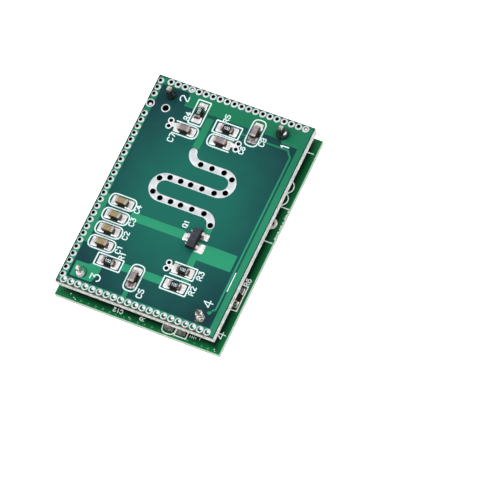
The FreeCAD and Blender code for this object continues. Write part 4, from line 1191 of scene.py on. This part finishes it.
for width, points in (
    (0.5, [(-2.0, 2.9), (-2.0, 4.3), (-4.6, 5.2), (-4.6, 6.4)]),
    (0.5, [(2.0, 2.9), (2.0, 3.6), (9.9, 3.6), (9.9, 12.4)]),
    (0.3, [(0.0, -1.7), (0.0, -3.4), (0.63, -4.2), (0.63, -5.2)]),
    (0.3, [(1.9, -5.2), (1.9, -3.9), (6.2, -3.9)]),
    (0.3, [(-1.9, -5.2), (-1.9, -3.9), (-6.2, -3.9)]),
    (0.3, [(-4.45, -12.0), (-4.45, -13.2), (-7.2, -13.2)]),
    (0.3, [(4.45, -12.0), (4.45, -13.2), (7.2, -13.2)]),
    (0.3, [(-0.63, -12.0), (-0.63, -14.5), (10.4, -14.5), (10.4, 1.0)]),
    (0.3, [(0.63, -12.0), (0.63, -13.4), (2.6, -13.4)]),
    (0.6, [(-10.6, -12.6), (-10.6, 14.6), (6.8, 14.6)]),
    (0.3, [(-5.1, -4.2), (-5.1, 1.6), (-8.4, 1.6)]),
    (0.3, [(3.17, -5.2), (3.17, -4.7), (5.3, -2.2), (5.3, 1.8)]),
):
    under_line(points, width, stock=under_copper)
under_copper.piece("copper_on_underside", LOW_COPPER, "control_board_mask", angle=60)
under_vias = [(2.6, -13.4), (5.3, 1.8), (-8.4, 1.6), (10.4, 1.0), (6.2, -3.9), (-6.2, -3.9), (6.8, 14.6),
              (-10.6, -12.6)]
UNDER_RING = turned([(0.34, 0.005), (0.33, -0.05), (0.2, -0.06), (0.14, -0.05), (0.14, 0.005)], 20, True)
repeated("underside_vias", UNDER_RING, under_vias, TINNED, 0.05, 0.1, z=CONTROL_UNDER)


# Chipped edge of the control board

breaks = Stock()
for k in range(9):
    width = dice.uniform(0.09, 0.16)
    x, y = CONTROL_HIGH.x - 0.01 - width / 2, about(4.95 - 0.5 * k, 0.12)
    nib = oblong(x, rf(0, y)[1], width, dice.uniform(0.2, 0.4), 0.04)
    breaks.add(*plate([nib], CONTROL_TOP, 0.02, 0.008))
breaks.piece("chipped_edge", CHIPPED, "control_board_mask")


# Floor, light and camera

# Directions of the camera, which the photograph's perspective gives, its place in metres and its lens
RIGHT = Vector((0.89885564, 0.41472944, -0.14162636))
DOWN = Vector((0.32586194, -0.84858318, -0.41679801))
AHEAD = Vector((-0.29304015, 0.3284906, -0.89789832))
CAMERA_PLACE = Vector((0.13581, -0.14333, 0.39485))
SENSOR_WIDTH, LENS = 36.0, 247.9

# White of its own that the floor shows, so that it comes out white while its shadow stays
PAPER_GLOW = 0.55
FLOOR_HALF = 3
WHITE = (1.0, 1.0, 1.0, 1.0)

# The sky is grey low down and white overhead, with an even patch where level faces mirror it to the camera
LOW_SKY = (0.16, 0.16, 0.17, 1.0)
SKY_RISE = (0.1, 0.75)
MIRRORED_SKY = (0.52, 0.53, 0.54, 1.0)
MIRRORED_REACH = (0.6, 0.95)
SKY_STRENGTH = 1.65

corners = [(x * FLOOR_HALF, y * FLOOR_HALF, 0) for x, y in ((-1, -1), (1, -1), (1, 1), (-1, 1))]
floor = new_object("floor", new_mesh("floor", corners, [[0, 1, 2, 3]]))
paper = plain("paper", (250, 250, 250), (247, 248, 249), (0.7, 0.8), clouds=60.0, grain=3000.0,
              height=0.00002, strength=0.1, shine=0.1)
tree = paper.node_tree
rays = add_node(tree, "LightPath").outputs
seen = maths(tree, "MAXIMUM", rays["Is Camera Ray"], rays["Is Glossy Ray"])
seen = maths(tree, "MAXIMUM", seen, rays["Is Transmission Ray"])
shader = tree.nodes["Principled BSDF"]
shader.inputs["Emission Color"].default_value = WHITE
tree.links.new(maths(tree, "MULTIPLY", seen, PAPER_GLOW), shader.inputs["Emission Strength"])
floor.data.materials.append(paper)

# Square lamps: place and size in metres, and watts
LAMPS = (("left", (-0.55, -0.35, 0.55), 0.35, 1.9), ("right", (0.5, 0.45, 0.5), 0.3, 1.25))
LAMP_AIM = Vector((0, 0, 0.008))
for name, place, size, watts in LAMPS:
    light = bpy.data.lights.new(name, "AREA")
    light.shape = "SQUARE"
    light.size = size
    light.energy = watts
    lamp = new_object(name, light)
    lamp.location = place
    lamp.rotation_mode = "QUATERNION"
    lamp.rotation_quaternion = (LAMP_AIM - Vector(place)).to_track_quat("-Z", "Y")

world = bpy.data.worlds.new("studio")
world.use_nodes = True
scene.world = world
tree = world.node_tree
background = tree.nodes["Background"]
way = add_node(tree, "TexCoord").outputs["Generated"]
nearness = vectors(tree, "DOT_PRODUCT", way, Vector((AHEAD.x, AHEAD.y, -AHEAD.z)), output="Value")
sky = mixed(tree, sharpened(tree, axis_of(tree, way, "Z"), *SKY_RISE), LOW_SKY, WHITE)
sky = mixed(tree, sharpened(tree, nearness, *MIRRORED_REACH), sky, MIRRORED_SKY)
tree.links.new(sky, background.inputs["Color"])
background.inputs["Strength"].default_value = SKY_STRENGTH

camera_data = bpy.data.cameras.new("camera")
camera_data.sensor_width = SENSOR_WIDTH
camera_data.lens = LENS
camera_data.clip_start, camera_data.clip_end = 0.05, 20.0
camera = new_object("camera", camera_data)
camera.matrix_world = Matrix.Translation(CAMERA_PLACE) @ Matrix((RIGHT, -DOWN, -AHEAD)).transposed().to_4x4()
scene.camera = camera
scene.view_settings.view_transform = "Standard"
